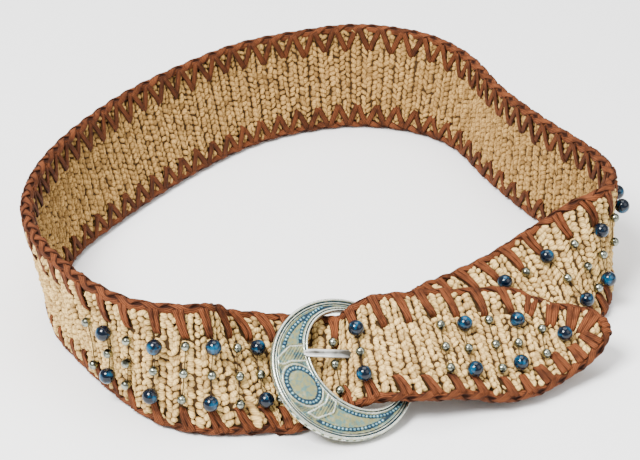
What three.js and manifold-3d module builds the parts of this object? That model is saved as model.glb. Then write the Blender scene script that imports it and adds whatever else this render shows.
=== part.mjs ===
// Crocheted western belt with a leather-laced edge, bead columns and a round crescent buckle.
// Millimetres, +Z up. The belt stands fastened on its lower edge, origin at the middle of its
// footprint on the floor. The buckle faces -Y.

import * as THREE from 'three';
import { mergeVertices } from 'three/addons/utils/BufferGeometryUtils.js';
import Module from 'manifold-3d';

const wasm = await Module();
wasm.setup();

// Driving dimensions
const BAND_THICKNESS = 4.2;      // crochet at the crest of a rib
const RIB_DEPTH = 0.8;           // how much thinner the valley between two ribs is
const RIB_PITCH = 6.8;           // one crochet row
const LACE_SIZE = 7;             // edge lacing across its section
const LACE_STITCH = 13.6;        // one lacing stitch, two crochet rows
const CLEARANCE = 0.35;          // left between pieces that touch
const LEVEL_UNTIL = 900;         // along the band, where the lower lacing leaves the floor
const TIP = { upper: { length: 50, fullness: 1.3 }, lower: { length: 66, fullness: 1.12 } };
const BIG_BEAD = 8;
const SMALL_BEAD = 4.8;
const EDGE_GAP = 0.75;           // between the crochet and its lacing
const BEAD_GAP = 0.35;           // between a bead and the rib under it
const BEAD_THREAD = 1.2;         // thread that carries a column of small beads
const BUCKLE_DIAMETER = 74;
const BUCKLE_THICKNESS = 3.5;    // at the raised rims
const BUCKLE_PLATE = 2.4;        // between the rims
const RIM_WIDTH = 2.4;
const LIP_WIDTH = 1.8;           // raised lip round the opening
const HOLE = { long: 54.5, short: 44, offset: 8 };
const MEDALLION = { u: -23.9, v: -1.2, long: 22.6, short: 16.8, turn: 106 };
const UPPER_PANEL = [            // outlines of the panels on either side of the medallion
  { u: -31, v: 12.8 }, { u: -30.5, v: 16 }, { u: -21.4, v: 19.9 }, { u: -14, v: 17.8 },
  { u: -15.5, v: 9 }, { u: -23.8, v: 11.8 }, { u: -27.8, v: 11.4 },
];
const LOWER_PANEL = [
  { u: -28.6, v: -14.5 }, { u: -24.8, v: -19.3 }, { u: -15.4, v: -19.3 }, { u: -11.4, v: -15 },
  { u: -13.5, v: -9 }, { u: -17, v: -12.6 }, { u: -23, v: -13.9 },
];
const BUCKLE_CENTRE = { x: 11.3, y: 24.3, z: 25.5 };
const BUCKLE_FACING = 32.3;      // degrees that the face turns towards +X
const BUCKLE_TILT = 52.6;        // degrees that the buckle leans back from upright
const BUCKLE_TURN = 15;          // degrees that its own axis turns in its plane
const PRONG = { hinge_angle: -8, hinge_radius: 33.4, tip_u: -15.4, tip_v: 13, width: 4.4, thick: 2 };
const EYE = { outer: 6, inner: 4.8, rise: 3.4, corner: 1 };
const TAB = { width: 30, middle: -3, leaf: 1.2, gap: 2.6, fold: 22.6, reach: 46.5 };
const TAB_SLOT = { width: 14, from: 9.6, to: 41.6, middle: -3.5 };
const PLAN_CENTRE = { x: 4.27, y: 171.34 };

// The belt's course, from the end that is held at the buckle, round the loop and through the
// buckle to the tail's tip. x and y place the middle of the band in plan, with y counted from
// the frontmost edge. lean is the angle by which the band leans towards the inside of the loop,
// lift is the height of its lower edge and width is measured over the lacing.
const COURSE = [
  { x: 46.5, y: 46.7, lean: 52.6, lift: 10.4, width: 46 },
  { x: 54.7, y: 52.4, lean: 52.8, lift: 7.6, width: 52 },
  { x: 67.7, y: 63, lean: 56, lift: 2, width: 63 },
  { x: 88, y: 84, lean: 62, lift: 0, width: 65.5 },
  { x: 106, y: 98, lean: 59.5, lift: 0, width: 65.5 },
  { x: 122, y: 109.5, lean: 51, lift: 0, width: 66 },
  { x: 137, y: 118, lean: 33, lift: 0, width: 66.5 },
  { x: 148, y: 127, lean: 12, lift: 0, width: 67 },
  { x: 154, y: 139, lean: 3, lift: 0, width: 67 },
  { x: 155, y: 154, lean: 0, lift: 0, width: 67 },
  { x: 151, y: 171, lean: 0, lift: 0, width: 67 },
  { x: 143, y: 188, lean: 0, lift: 0, width: 66 },
  { x: 122, y: 221.5, lean: -1, lift: 0, width: 65.5 },
  { x: 102.5, y: 262, lean: -3, lift: 0, width: 63.5 },
  { x: 85, y: 306, lean: -7, lift: 0, width: 63.5 },
  { x: 61, y: 330, lean: -12, lift: 0, width: 65 },
  { x: 25, y: 340.3, lean: -14.5, lift: 0, width: 66 },
  { x: -10, y: 331.5, lean: -11, lift: 0, width: 66 },
  { x: -45, y: 313, lean: -13, lift: 0, width: 66.5 },
  { x: -76, y: 282.5, lean: -15, lift: 0, width: 67 },
  { x: -103, y: 248.5, lean: -17, lift: 0, width: 67.5 },
  { x: -124.5, y: 212, lean: -14, lift: 0, width: 67.5 },
  { x: -140, y: 179, lean: -10, lift: 0, width: 67 },
  { x: -147, y: 148, lean: -10, lift: 0, width: 67 },
  { x: -147, y: 118, lean: -10, lift: 0, width: 67 },
  { x: -139, y: 89, lean: -9, lift: 0, width: 67 },
  { x: -125, y: 65, lean: -9, lift: 0, width: 67 },
  { x: -108, y: 42, lean: -7, lift: 0, width: 67 },
  { x: -91, y: 25, lean: -2, lift: 0, width: 67 },
  { x: -77, y: 17, lean: 6, lift: 0, width: 67 },
  { x: -64, y: 14, lean: 13, lift: 0, width: 67 },
  { x: -52, y: 15, lean: 21, lift: 0, width: 67 },
  { x: -41, y: 20, lean: 35, lift: 0, width: 67 },
  { x: -29, y: 27, lean: 52, lift: 0, width: 67 },
  { x: -13, y: 31, lean: 58, lift: 0, width: 65 },
  { x: 1, y: 30.8, lean: 50, lift: 1.2, width: 57 },
  { x: 11, y: 29.4, lean: 42, lift: 5.0, width: 52.4 },
  { x: 21, y: 30.4, lean: 43, lift: 10.6, width: 53 },
  { x: 32.5, y: 33.2, lean: 50.5, lift: 12.8, width: 57 },
  { x: 46, y: 37.4, lean: 57, lift: 12, width: 61 },
  { x: 62, y: 43.3, lean: 60, lift: 10.1, width: 64 },
  { x: 80, y: 49.3, lean: 61, lift: 5.4, width: 66.5 },
  { x: 104, y: 54.9, lean: 61, lift: 1.6, width: 68.3 },
  { x: 125, y: 60.4, lean: 61, lift: 1.6, width: 61.5 },
  { x: 147, y: 66, lean: 60, lift: 4.3, width: 69.5 },
];

// Columns of beads on the outer face. along is measured on the band's middle from its start,
// slant is how far the lower row runs ahead of the upper one, rise lifts the whole column,
// proud holds it off the band where the band twists, spread closes its rows up where the band is
// pinched, and rows names the rows that hold a bead.
// A big column has glass in the outer rows and metal between them, and a small one is metal
// throughout.
const ROWS = { upper: 12, middle: -2, lower: -15.5 };
const ALL_ROWS = ['upper', 'middle', 'lower'];
const COLUMNS = [
  { along: 73, slant: 0, rise: 0, proud: 0, spread: 1, big: true, rows: ['upper'] },
  { along: 88, slant: 0, rise: 0, proud: 0, spread: 1, big: false, rows: ['upper'] },
  { along: 106.5, slant: 12, rise: 0, proud: 0, spread: 1.1, big: true, rows: ALL_ROWS },
  { along: 119.5, slant: 6.5, rise: 0, proud: 0, spread: 1, big: false, rows: ALL_ROWS },
  { along: 130.2, slant: 0, rise: 1, proud: 0, spread: 1, big: true, rows: ALL_ROWS },
  { along: 142, slant: -2, rise: 2, proud: 0, spread: 1, big: false, rows: ['upper', 'middle'] },
  { along: 153.5, slant: 0, rise: 3, proud: 0, spread: 1, big: true, rows: ['upper'] },
  { along: 167.5, slant: 0, rise: 3, proud: 0, spread: 1, big: true, rows: ['upper'] },
  { along: 788, slant: -1.5, rise: -3, proud: 0, spread: 1, big: false, rows: ['upper', 'lower'] },
  { along: 803.3, slant: -2.5, rise: -1, proud: 0, spread: 1, big: true, rows: ALL_ROWS },
  { along: 816.3, slant: -3, rise: -1, proud: 0, spread: 1, big: false, rows: ALL_ROWS },
  { along: 831.5, slant: -2, rise: 0, proud: 0, spread: 1, big: true, rows: ALL_ROWS },
  { along: 845.3, slant: -1.5, rise: 1, proud: 0, spread: 1, big: false, rows: ALL_ROWS },
  { along: 857.3, slant: -3, rise: 0, proud: 0, spread: 1, big: true, rows: ALL_ROWS },
  { along: 869.5, slant: -6, rise: -2, proud: 0.5, spread: 1, big: false, rows: ALL_ROWS },
  { along: 881, slant: -8, rise: -2, proud: 0.5, spread: 1, big: true, rows: ALL_ROWS },
  { along: 893.5, slant: -4, rise: 0, proud: 0, spread: 1, big: false, rows: ALL_ROWS },
  { along: 905.5, slant: 0, rise: 0, proud: 0, spread: 1, big: true, rows: ALL_ROWS },
  { along: 926, slant: 5, rise: -1, proud: 0, spread: 1, big: false, rows: ['upper'] },
  { along: 926, slant: 5, rise: 1.5, proud: 0, spread: 1, big: false, rows: ['middle', 'lower'] },
  { along: 939, slant: 1, rise: 2, proud: 0, spread: 0.83, big: true, rows: ALL_ROWS },
  { along: 980.5, slant: -3, rise: -2.3, proud: 0, spread: 0.87, big: false, rows: ALL_ROWS },
  { along: 992.7, slant: -3.5, rise: -3.1, proud: 0, spread: 0.95, big: true, rows: ALL_ROWS },
  { along: 1008.8, slant: 0, rise: -0.4, proud: 0, spread: 1, big: false, rows: ALL_ROWS },
  { along: 1021.6, slant: -4, rise: 0.2, proud: 0, spread: 0.88, big: true, rows: ALL_ROWS },
  { along: 1034.5, slant: -3, rise: -6.1, proud: 0, spread: 1, big: false, rows: ['upper', 'middle'] },
  { along: 1047.1, slant: 0, rise: -10.5, proud: 0, spread: 1, big: true, rows: ['upper'] },
];

const CREAM = { color: 0xdcc49a, roughness: 0.95, metalness: 0 };
const BROWN = { color: 0x8a4a2e, roughness: 0.85, metalness: 0 };
const BLUE = { color: 0x12608a, roughness: 0.15, metalness: 0 };
const STEEL = { color: 0x8f9285, roughness: 0.35, metalness: 1 };
const SILVER = { color: 0xb9bdb0, roughness: 0.4, metalness: 1 };

const degrees = Math.PI / 180;
const MEASURES = ['x', 'y', 'lean', 'lift', 'width'];

// Solids from and to closed meshes
function toSolid(geometry) {
  const bare = new THREE.BufferGeometry();
  bare.setAttribute('position', geometry.getAttribute('position'));
  bare.setIndex(geometry.getIndex());
  const merged = mergeVertices(bare, 1e-4);
  return new wasm.Manifold(new wasm.Mesh({
    numProp: 3,
    vertProperties: new Float32Array(merged.getAttribute('position').array),
    triVerts: new Uint32Array(merged.getIndex().array),
  }));
}

function toGeometry(solid) {
  const mesh = solid.getMesh();
  const geometry = new THREE.BufferGeometry();
  geometry.setAttribute('position', new THREE.BufferAttribute(mesh.vertProperties, 3));
  geometry.setIndex(new THREE.BufferAttribute(mesh.triVerts, 1));
  geometry.computeVertexNormals();
  return geometry;
}

// A smooth curve through the rows of COURSE, walked by its length in space
class BeltCourse {
  constructor(rows, steps) {
    this.rows = rows;
    this.knots = [0];
    for (let i = 1; i < rows.length; i += 1) {
      const step = Math.hypot(rows[i].x - rows[i - 1].x, rows[i].y - rows[i - 1].y);
      this.knots.push(this.knots[i - 1] + step);
    }
    this.slopes = MEASURES.map((key) => this.columnSlopes(key));
    const end = this.knots[this.knots.length - 1];
    this.samples = [];
    for (let i = 0; i <= steps; i += 1) this.samples.push(this.sample((end * i) / steps));
    this.lengths = [0];
    for (let i = 1; i <= steps; i += 1) {
      const step = this.samples[i].centre.distanceTo(this.samples[i - 1].centre);
      this.lengths.push(this.lengths[i - 1] + step);
    }
    this.length = this.lengths[steps];
  }

  columnSlopes(key) {
    const last = this.rows.length - 1;
    return this.rows.map((row, i) => {
      const before = Math.max(i - 1, 0);
      const after = Math.min(i + 1, last);
      return (this.rows[after][key] - this.rows[before][key]) / (this.knots[after] - this.knots[before]);
    });
  }

  sample(knot) {
    const last = this.rows.length - 1;
    let i = 0;
    while (i < last - 1 && this.knots[i + 1] < knot) i += 1;
    const span = this.knots[i + 1] - this.knots[i];
    const t = (knot - this.knots[i]) / span;
    const value = {};
    MEASURES.forEach((key, k) => {
      const [a, b] = [this.rows[i][key], this.rows[i + 1][key]];
      const [sa, sb] = [this.slopes[k][i] * span, this.slopes[k][i + 1] * span];
      value[key] = (2 * t ** 3 - 3 * t ** 2 + 1) * a + (t ** 3 - 2 * t ** 2 + t) * sa
        + (3 * t ** 2 - 2 * t ** 3) * b + (t ** 3 - t ** 2) * sb;
      value[`${key}Slope`] = ((6 * t ** 2 - 6 * t) * a + (3 * t ** 2 - 4 * t + 1) * sa
        + (6 * t - 6 * t ** 2) * b + (3 * t ** 2 - 2 * t) * sb) / span;
    });
    value.lift = Math.max(value.lift, 0);
    const heading = new THREE.Vector3(value.xSlope, value.ySlope, 0).normalize();
    const lean = value.lean * degrees;
    const across = new THREE.Vector3(-heading.y * Math.sin(lean), heading.x * Math.sin(lean), Math.cos(lean));
    const reach = value.width / 2 - LACE_SIZE / 2;
    const centre = new THREE.Vector3(
      value.x - PLAN_CENTRE.x,
      value.y - PLAN_CENTRE.y,
      value.lift + LACE_SIZE / 2 + reach * Math.cos(lean),
    );
    return { centre, across, half: value.width / 2 };
  }

  // The band's frame at a length along its middle
  at(along) {
    const last = this.lengths.length - 1;
    let low = 0;
    let high = last;
    while (high - low > 1) {
      const middle = (low + high) >> 1;
      if (this.lengths[middle] <= along) low = middle;
      else high = middle;
    }
    const t = (along - this.lengths[low]) / (this.lengths[high] - this.lengths[low]);
    const [a, b] = [this.samples[low], this.samples[high]];
    const centre = a.centre.clone().lerp(b.centre, t);
    const across = a.across.clone().lerp(b.across, t).normalize();
    const forward = b.centre.clone().sub(a.centre);
    forward.addScaledVector(across, -forward.dot(across)).normalize();
    const outward = forward.clone().cross(across);
    return { centre, across, forward, outward, half: a.half + (b.half - a.half) * t };
  }

  // From the band's middle to its edge, which closes to the rounded tip at the tail's end
  halfWidth(along, end) {
    const rest = Math.max(this.length - along, 0);
    const full = this.at(Math.min(along, this.length)).half;
    if (rest >= end.length) return full;
    return full * Math.sqrt(1 - (1 - rest / end.length) ** end.fullness);
  }

  point(along, across, out) {
    const frame = this.at(along);
    return frame.centre.clone().addScaledVector(frame.across, across).addScaledVector(frame.outward, out);
  }

  // An edge of the band on its flat pattern, set in by inset, from the start to the tip
  edge(inset, end) {
    const outline = [];
    const straight = this.length - end.length;
    for (let along = 0; along < straight; along += 2) outline.push([along, this.halfWidth(along, end)]);
    for (let i = 0; i <= 60; i += 1) {
      const along = this.length - end.length * (1 - i / 60) ** 2;
      outline.push([along, this.halfWidth(along, end)]);
    }
    const line = [];
    for (let i = 0; i < outline.length; i += 1) {
      const a = outline[Math.max(i - 1, 0)];
      const b = outline[Math.min(i + 1, outline.length - 1)];
      const size = Math.hypot(b[0] - a[0], b[1] - a[1]);
      const [nx, ny] = i === outline.length - 1 ? [1, 0] : [-(b[1] - a[1]) / size, (b[0] - a[0]) / size];
      const point = [outline[i][0] - nx * inset, outline[i][1] - ny * inset];
      if (point[1] >= 0) line.push(point);
    }
    return line;
  }
}

const course = new BeltCourse(COURSE, 1200);

// A closed solid through rings of points, each ring a list of the same number of points in
// counter-clockwise order as seen from the far end of the sweep
function loft(rings) {
  const count = rings[0].length;
  const position = rings.flat().flatMap((p) => [p.x, p.y, p.z]);
  const index = [];
  for (let i = 0; i < rings.length - 1; i += 1) {
    for (let k = 0; k < count; k += 1) {
      const next = (k + 1) % count;
      const [a, b] = [i * count + k, i * count + next];
      index.push(a, b, b + count, a, b + count, a + count);
    }
  }
  const end = (rings.length - 1) * count;
  for (let k = 1; k < count - 1; k += 1) {
    index.push(0, k + 1, k);
    index.push(end, end + k, end + k + 1);
  }
  const geometry = new THREE.BufferGeometry();
  geometry.setAttribute('position', new THREE.Float32BufferAttribute(position, 3));
  geometry.setIndex(index);
  geometry.computeVertexNormals();
  return geometry;
}

// Value of a polyline of [x, y] points at x
function valueAt(line, x) {
  let i = 1;
  while (i < line.length - 1 && line[i][0] < x) i += 1;
  const [a, b] = [line[i - 1], line[i]];
  const t = Math.min(Math.max((x - a[0]) / (b[0] - a[0]), 0), 1);
  return a[1] + (b[1] - a[1]) * t;
}

// From the band's middle to its ribbed face: a valley at its start, then a crest in each row
function faceHeight(along) {
  const row = (along / RIB_PITCH) % 1;
  return (BAND_THICKNESS - RIB_DEPTH * Math.abs(1 - 2 * row)) / 2;
}

// The crocheted band: one ribbed solid, thick at each row and thin between rows
function bandGeometry() {
  const inset = LACE_SIZE + EDGE_GAP;
  const [upper, lower] = [course.edge(inset, TIP.upper), course.edge(inset, TIP.lower)];
  const end = Math.min(upper[upper.length - 1][0], lower[lower.length - 1][0]);
  const rings = [];
  for (let along = 0; along < end; along += RIB_PITCH / 2) {
    const frame = course.at(along);
    const [above, below] = [Math.max(valueAt(upper, along), 0.8), Math.max(valueAt(lower, along), 0.8)];
    const thick = faceHeight(along);
    rings.push([[above, thick], [-below, thick], [-below, -thick], [above, -thick]].map(([across, out]) => (
      frame.centre.clone().addScaledVector(frame.across, across).addScaledVector(frame.outward, out))));
  }
  return loft(rings);
}

// Points of an edge's lacing, evenly spaced in space, on the side +1 (upper) or -1 (lower)
function lacingPath(side) {
  const end = side > 0 ? TIP.upper : TIP.lower;
  const flat = course.edge(LACE_SIZE / 2, end).filter(([, across]) => across > LACE_SIZE / 2);
  const points = flat.map(([along, across]) => ({ along, at: course.point(along, side * across, 0) }));
  const middle = course.length - LACE_SIZE / 2;
  points.push({ along: middle, at: course.point(middle, side * CLEARANCE, 0) });
  const lengths = [0];
  for (let i = 1; i < points.length; i += 1) {
    lengths.push(lengths[i - 1] + points[i].at.distanceTo(points[i - 1].at));
  }
  const total = lengths[lengths.length - 1];
  const count = Math.round(total / (LACE_STITCH / 2));
  const path = [];
  for (let i = 0; i <= count; i += 1) {
    const goal = (total * i) / count;
    let k = 1;
    while (k < lengths.length - 1 && lengths[k] < goal) k += 1;
    const t = (goal - lengths[k - 1]) / (lengths[k] - lengths[k - 1]);
    path.push({
      along: points[k - 1].along + (points[k].along - points[k - 1].along) * t,
      at: points[k - 1].at.clone().lerp(points[k].at, t),
    });
  }
  return path;
}

// The lacing of one edge: a thick braid, full at each stitch and slimmer between two stitches,
// with a flat underside. The lower one stands level on the floor as far as the buckle, and past
// it turns to the tail's own lean.
function lacingGeometry(side) {
  const path = lacingPath(side);
  const up = new THREE.Vector3(0, 0, 1);
  const radius = LACE_SIZE / 2;
  const rings = path.map(({ along, at }, i) => {
    const before = path[Math.max(i - 1, 0)].at;
    const after = path[Math.min(i + 1, path.length - 1)].at;
    const frame = course.at(along);
    const forward = after.clone().sub(before).normalize();
    const level = frame.outward.clone();
    if (i === path.length - 1) forward.copy(frame.across).multiplyScalar(-side);
    else if (side < 0) {
      const turned = THREE.MathUtils.smoothstep(along, LEVEL_UNTIL, LEVEL_UNTIL + 100);
      if (turned === 0) forward.setZ(0).normalize();
      level.lerp(forward.clone().cross(up).normalize(), 1 - turned);
    }
    level.addScaledVector(forward, -level.dot(forward)).normalize();
    const rise = level.clone().cross(forward);
    const full = i % 2 === 0 ? 0.9 : 1;
    const section = [[-0.5, -1], [-full, -0.1], [0, full], [full, -0.1], [0.5, -1]];
    return section.map(([x, y]) => (
      at.clone().addScaledVector(level, x * radius).addScaledVector(rise, y * radius)));
  });
  return loft(rings);
}

// Beads
function beadGeometry(diameter, bands) {
  return new THREE.SphereGeometry(diameter / 2, 10, bands);
}

function beadPlace(column, row, diameter) {
  const across = ROWS[row] * column.spread + column.rise;
  const along = column.along - (ROWS[row] * column.slant) / (ROWS.upper - ROWS.lower);
  const out = faceHeight(along) + diameter / 2 + BEAD_GAP + column.proud;
  return { centre: course.point(along, across, out), lean: course.at(along).across };
}

// A column of small beads, joined into one body by the thread that carries them
function threadedBeads(centres) {
  const up = new THREE.Vector3(0, 1, 0);
  const solids = centres.map((centre) => (
    toSolid(beadGeometry(SMALL_BEAD, 4).translate(centre.x, centre.y, centre.z))));
  for (let i = 1; i < centres.length; i += 1) {
    const step = centres[i].clone().sub(centres[i - 1]);
    const middle = centres[i].clone().add(centres[i - 1]).multiplyScalar(0.5);
    const thread = new THREE.CylinderGeometry(BEAD_THREAD / 2, BEAD_THREAD / 2, step.length(), 5);
    const turn = new THREE.Quaternion().setFromUnitVectors(up, step.normalize());
    solids.push(toSolid(thread.applyQuaternion(turn).translate(middle.x, middle.y, middle.z)));
  }
  return toGeometry(solids.reduce((joined, solid) => joined.add(solid)));
}

// The buckle, in its own plane: u to the right, v up, n out of its face, with n = 0 at the
// middle of its thickness
const ownTurn = BUCKLE_TURN * degrees;
const thinSide = new THREE.Vector2(Math.cos(ownTurn), Math.sin(ownTurn));
const face = BUCKLE_THICKNESS / 2;
const ROUND = 22;                // segments of a half circle

function circle(centre, radius) {
  const shape = new THREE.Shape();
  shape.absarc(centre.x, centre.y, radius, 0, 2 * Math.PI, false);
  return shape;
}

function opening(grow) {
  const centre = thinSide.clone().multiplyScalar(HOLE.offset);
  const shape = new THREE.Shape();
  shape.absellipse(
    centre.x, centre.y, HOLE.short / 2 + grow, HOLE.long / 2 + grow, 0, 2 * Math.PI, false, ownTurn);
  return shape;
}

function slab(shape, low, high, segments) {
  const geometry = new THREE.ExtrudeGeometry(shape, {
    depth: high - low, bevelEnabled: false, curveSegments: segments,
  });
  return toSolid(geometry.translate(0, 0, low));
}

function frameOf(outer, inner, low, high) {
  return slab(outer, low, high, ROUND).subtract(slab(inner, low - 1, high + 1, ROUND));
}

function buckleGeometry() {
  const middle = new THREE.Vector2(0, 0);
  const outline = circle(middle, BUCKLE_DIAMETER / 2);
  const root = -face + BUCKLE_PLATE / 2;
  const medallion = new THREE.Shape();
  medallion.absellipse(
    MEDALLION.u, MEDALLION.v, MEDALLION.long / 2, MEDALLION.short / 2, 0, 2 * Math.PI, false,
    MEDALLION.turn * degrees);
  const raised = [
    frameOf(outline, circle(middle, BUCKLE_DIAMETER / 2 - RIM_WIDTH), root, face),
    frameOf(opening(LIP_WIDTH), opening(0), root, face).intersect(slab(outline, root, face, ROUND)),
    slab(medallion, root, face - 0.1, 8),
  ];
  [UPPER_PANEL, LOWER_PANEL].forEach((panel) => {
    const plate = slab(polygon(panel.map(({ u, v }) => [u, v])), root, face - 0.3, 1);
    raised.push(plate.subtract(slab(opening(0), root - 1, face, ROUND)));
  });
  const plate = frameOf(outline, opening(0), -face, -face + BUCKLE_PLATE);
  return toGeometry(raised.reduce((joined, solid) => joined.add(solid), plate));
}

// A profile in the buckle's u and n, extruded along v about v = 0
function profileSolid(shape, width) {
  const geometry = new THREE.ExtrudeGeometry(shape, { depth: width, bevelEnabled: false });
  return toSolid(geometry.translate(0, 0, -width / 2).rotateX(Math.PI / 2));
}

function polygon(points) {
  return new THREE.Shape(points.map(([x, y]) => new THREE.Vector2(x, y)));
}

// The prong: an eye round the ring's thin side and a tapered bar whose tip rests on the far
// rim. It is grown by grow to cut its slot in the band.
function prongSolid(grow) {
  const hingeTurn = PRONG.hinge_angle * degrees;
  const hinge = new THREE.Vector2(Math.cos(hingeTurn), Math.sin(hingeTurn));
  hinge.multiplyScalar(PRONG.hinge_radius);
  const tip = new THREE.Vector2(PRONG.tip_u, PRONG.tip_v);
  const length = tip.distanceTo(hinge);
  const rest = face + CLEARANCE;
  const { outer, inner, rise, corner } = EYE;
  const bar = polygon([
    [-outer, corner - rise], [corner - outer, -rise], [outer - corner, -rise], [outer, corner - rise],
    [outer, 0], [length - 12, rise - PRONG.thick - grow], [length - 6, rest - grow],
    [length + 1.5, rest - grow], [length + 1.5, rest + PRONG.thick / 2 + grow],
    [length - 6, rest + PRONG.thick + grow],
    [outer + 8, rise + grow], [corner - outer, rise], [-outer, rise - corner],
  ]);
  let solid = profileSolid(bar, PRONG.width + 2 * grow);
  if (grow === 0) {
    const hole = polygon([[-inner, -rest], [inner, -rest], [inner, rest], [-inner, rest]]);
    solid = solid.subtract(profileSolid(hole, 2 * PRONG.width));
  }
  const turn = Math.atan2(tip.y - hinge.y, tip.x - hinge.x) / degrees;
  return solid.rotate([0, 0, turn]).translate([hinge.x, hinge.y, 0]);
}

// The leather tab that folds round the ring's thin side and holds the band's end
function tabGeometry() {
  const { gap, leaf, reach, fold } = TAB;
  const bend = fold + 1.5;
  const body = profileSolid(polygon([
    [reach, gap], [reach, gap + leaf], [bend, gap + leaf], [fold - leaf, gap / 2],
    [fold - leaf, -gap / 2], [bend, -gap - leaf], [reach, -gap - leaf], [reach, -gap],
    [bend, -gap], [fold, -gap / 2], [fold, gap / 2], [bend, gap],
  ]), TAB.width);
  const slot = new THREE.BoxGeometry(TAB_SLOT.to - TAB_SLOT.from, TAB_SLOT.width, 4 * (gap + leaf));
  slot.translate((TAB_SLOT.from + TAB_SLOT.to) / 2, TAB_SLOT.middle, 0);
  return toGeometry(body.translate([0, TAB.middle, 0]).subtract(toSolid(slot)));
}

function placedBuckle() {
  const [facing, tilt] = [BUCKLE_FACING * degrees, BUCKLE_TILT * degrees];
  const u = new THREE.Vector3(Math.cos(facing), Math.sin(facing), 0);
  const level = new THREE.Vector3(-u.y, u.x, 0);
  const v = level.multiplyScalar(Math.sin(tilt)).setZ(Math.cos(tilt));
  const group = new THREE.Group();
  group.setRotationFromMatrix(new THREE.Matrix4().makeBasis(u, v, u.clone().cross(v)));
  group.position.set(BUCKLE_CENTRE.x - PLAN_CENTRE.x, BUCKLE_CENTRE.y - PLAN_CENTRE.y, BUCKLE_CENTRE.z);
  group.updateMatrixWorld(true);
  return group;
}

function mesh(name, geometry, finish) {
  const piece = new THREE.Mesh(geometry, new THREE.MeshStandardMaterial(finish));
  piece.name = name;
  return piece;
}

// The beads of one column: big ones are pieces of their own, small ones are on one thread
function beadColumn(column, label) {
  if (!column.big) {
    const centres = column.rows.map((row) => beadPlace(column, row, SMALL_BEAD).centre);
    return [mesh(`metal_beads_${label}`, threadedBeads(centres), STEEL)];
  }
  return column.rows.map((row) => {
    const metal = row === 'middle';
    const diameter = metal ? SMALL_BEAD : BIG_BEAD;
    const { centre, lean } = beadPlace(column, row, diameter);
    const name = metal ? `metal_bead_${label}` : `glass_bead_${label}_${row}`;
    const bead = mesh(name, beadGeometry(diameter, metal ? 4 : 5), metal ? STEEL : BLUE);
    bead.position.copy(centre);
    bead.quaternion.setFromUnitVectors(new THREE.Vector3(0, 1, 0), lean);
    return bead;
  });
}

const belt = new THREE.Group();
const buckle = placedBuckle();

// The band parts round the prong, so a slot is cut where the prong comes through
const slot = toSolid(toGeometry(prongSolid(CLEARANCE)).applyMatrix4(buckle.matrixWorld));
belt.add(mesh('band', toGeometry(toSolid(bandGeometry()).subtract(slot)), CREAM));
belt.add(mesh('upper_lacing', lacingGeometry(1), BROWN));
belt.add(mesh('lower_lacing', lacingGeometry(-1), BROWN));
COLUMNS.forEach((column, i) => {
  belt.add(...beadColumn(column, String(i + 1).padStart(2, '0')));
});

buckle.add(mesh('buckle_ring', buckleGeometry(), SILVER));
buckle.add(mesh('prong', toGeometry(prongSolid(0)), SILVER));
buckle.add(mesh('buckle_tab', tabGeometry(), BROWN));
belt.add(buckle);

export default belt;
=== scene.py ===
import logging
import math
from dataclasses import dataclass, field
from enum import Enum
from typing import NamedTuple

import bpy
import numpy as np
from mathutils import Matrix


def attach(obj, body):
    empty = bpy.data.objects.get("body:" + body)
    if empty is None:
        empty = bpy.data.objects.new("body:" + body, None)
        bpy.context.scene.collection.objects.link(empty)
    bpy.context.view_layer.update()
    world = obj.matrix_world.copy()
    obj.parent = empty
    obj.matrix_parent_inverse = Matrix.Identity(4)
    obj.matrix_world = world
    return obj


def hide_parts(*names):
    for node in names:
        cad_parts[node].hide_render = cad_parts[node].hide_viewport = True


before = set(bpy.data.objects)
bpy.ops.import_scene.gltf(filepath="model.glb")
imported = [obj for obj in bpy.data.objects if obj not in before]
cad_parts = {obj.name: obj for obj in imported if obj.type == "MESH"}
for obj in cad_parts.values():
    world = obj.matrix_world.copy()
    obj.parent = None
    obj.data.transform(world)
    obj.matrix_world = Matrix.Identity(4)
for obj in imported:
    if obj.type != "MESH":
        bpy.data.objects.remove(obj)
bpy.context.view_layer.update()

log = logging.getLogger("western_belt")
MM = 0.001
BODY = "root"
SEED = 21
Array = np.ndarray
Colour = tuple[float, float, float]

# The belt's course: x, y, lean, lift and width of each row, in millimetres and degrees
COURSE = (
    (46.5, 46.7, 52.6, 10.4, 46), (54.7, 52.4, 52.8, 7.6, 52), (67.7, 63, 56, 2, 63),
    (88, 84, 62, 0, 65.5), (106, 98, 59.5, 0, 65.5), (122, 109.5, 51, 0, 66),
    (137, 118, 33, 0, 66.5), (148, 127, 12, 0, 67), (154, 139, 3, 0, 67), (155, 154, 0, 0, 67),
    (151, 171, 0, 0, 67), (143, 188, 0, 0, 66), (122, 221.5, -1, 0, 65.5), (102.5, 262, -3, 0, 63.5),
    (85, 306, -7, 0, 63.5), (61, 330, -12, 0, 65), (25, 340.3, -14.5, 0, 66), (-10, 331.5, -11, 0, 66),
    (-45, 313, -13, 0, 66.5), (-76, 282.5, -15, 0, 67), (-103, 248.5, -17, 0, 67.5),
    (-124.5, 212, -14, 0, 67.5), (-140, 179, -10, 0, 67), (-147, 148, -10, 0, 67),
    (-147, 118, -10, 0, 67), (-139, 89, -9, 0, 67), (-125, 65, -9, 0, 67), (-108, 42, -7, 0, 67),
    (-91, 25, -2, 0, 67), (-77, 17, 6, 0, 67),
    (-64, 14, 13, 0, 67), (-52, 15, 21, 0, 67), (-41, 20, 35, 0, 67), (-29, 27, 52, 0, 67),
    (-13, 31, 58, 0, 65), (1, 30.8, 50, 1.2, 57), (11, 29.4, 42, 5.0, 52.4), (21, 30.4, 43, 10.6, 53),
    (32.5, 33.2, 50.5, 12.8, 57), (46, 37.4, 57, 12, 61), (62, 43.3, 60, 10.1, 64),
    (80, 49.3, 61, 5.4, 66.5), (104, 54.9, 61, 1.6, 68.3), (125, 60.4, 61, 1.6, 61.5),
    (147, 66, 60, 4.3, 69.5),
)
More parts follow.
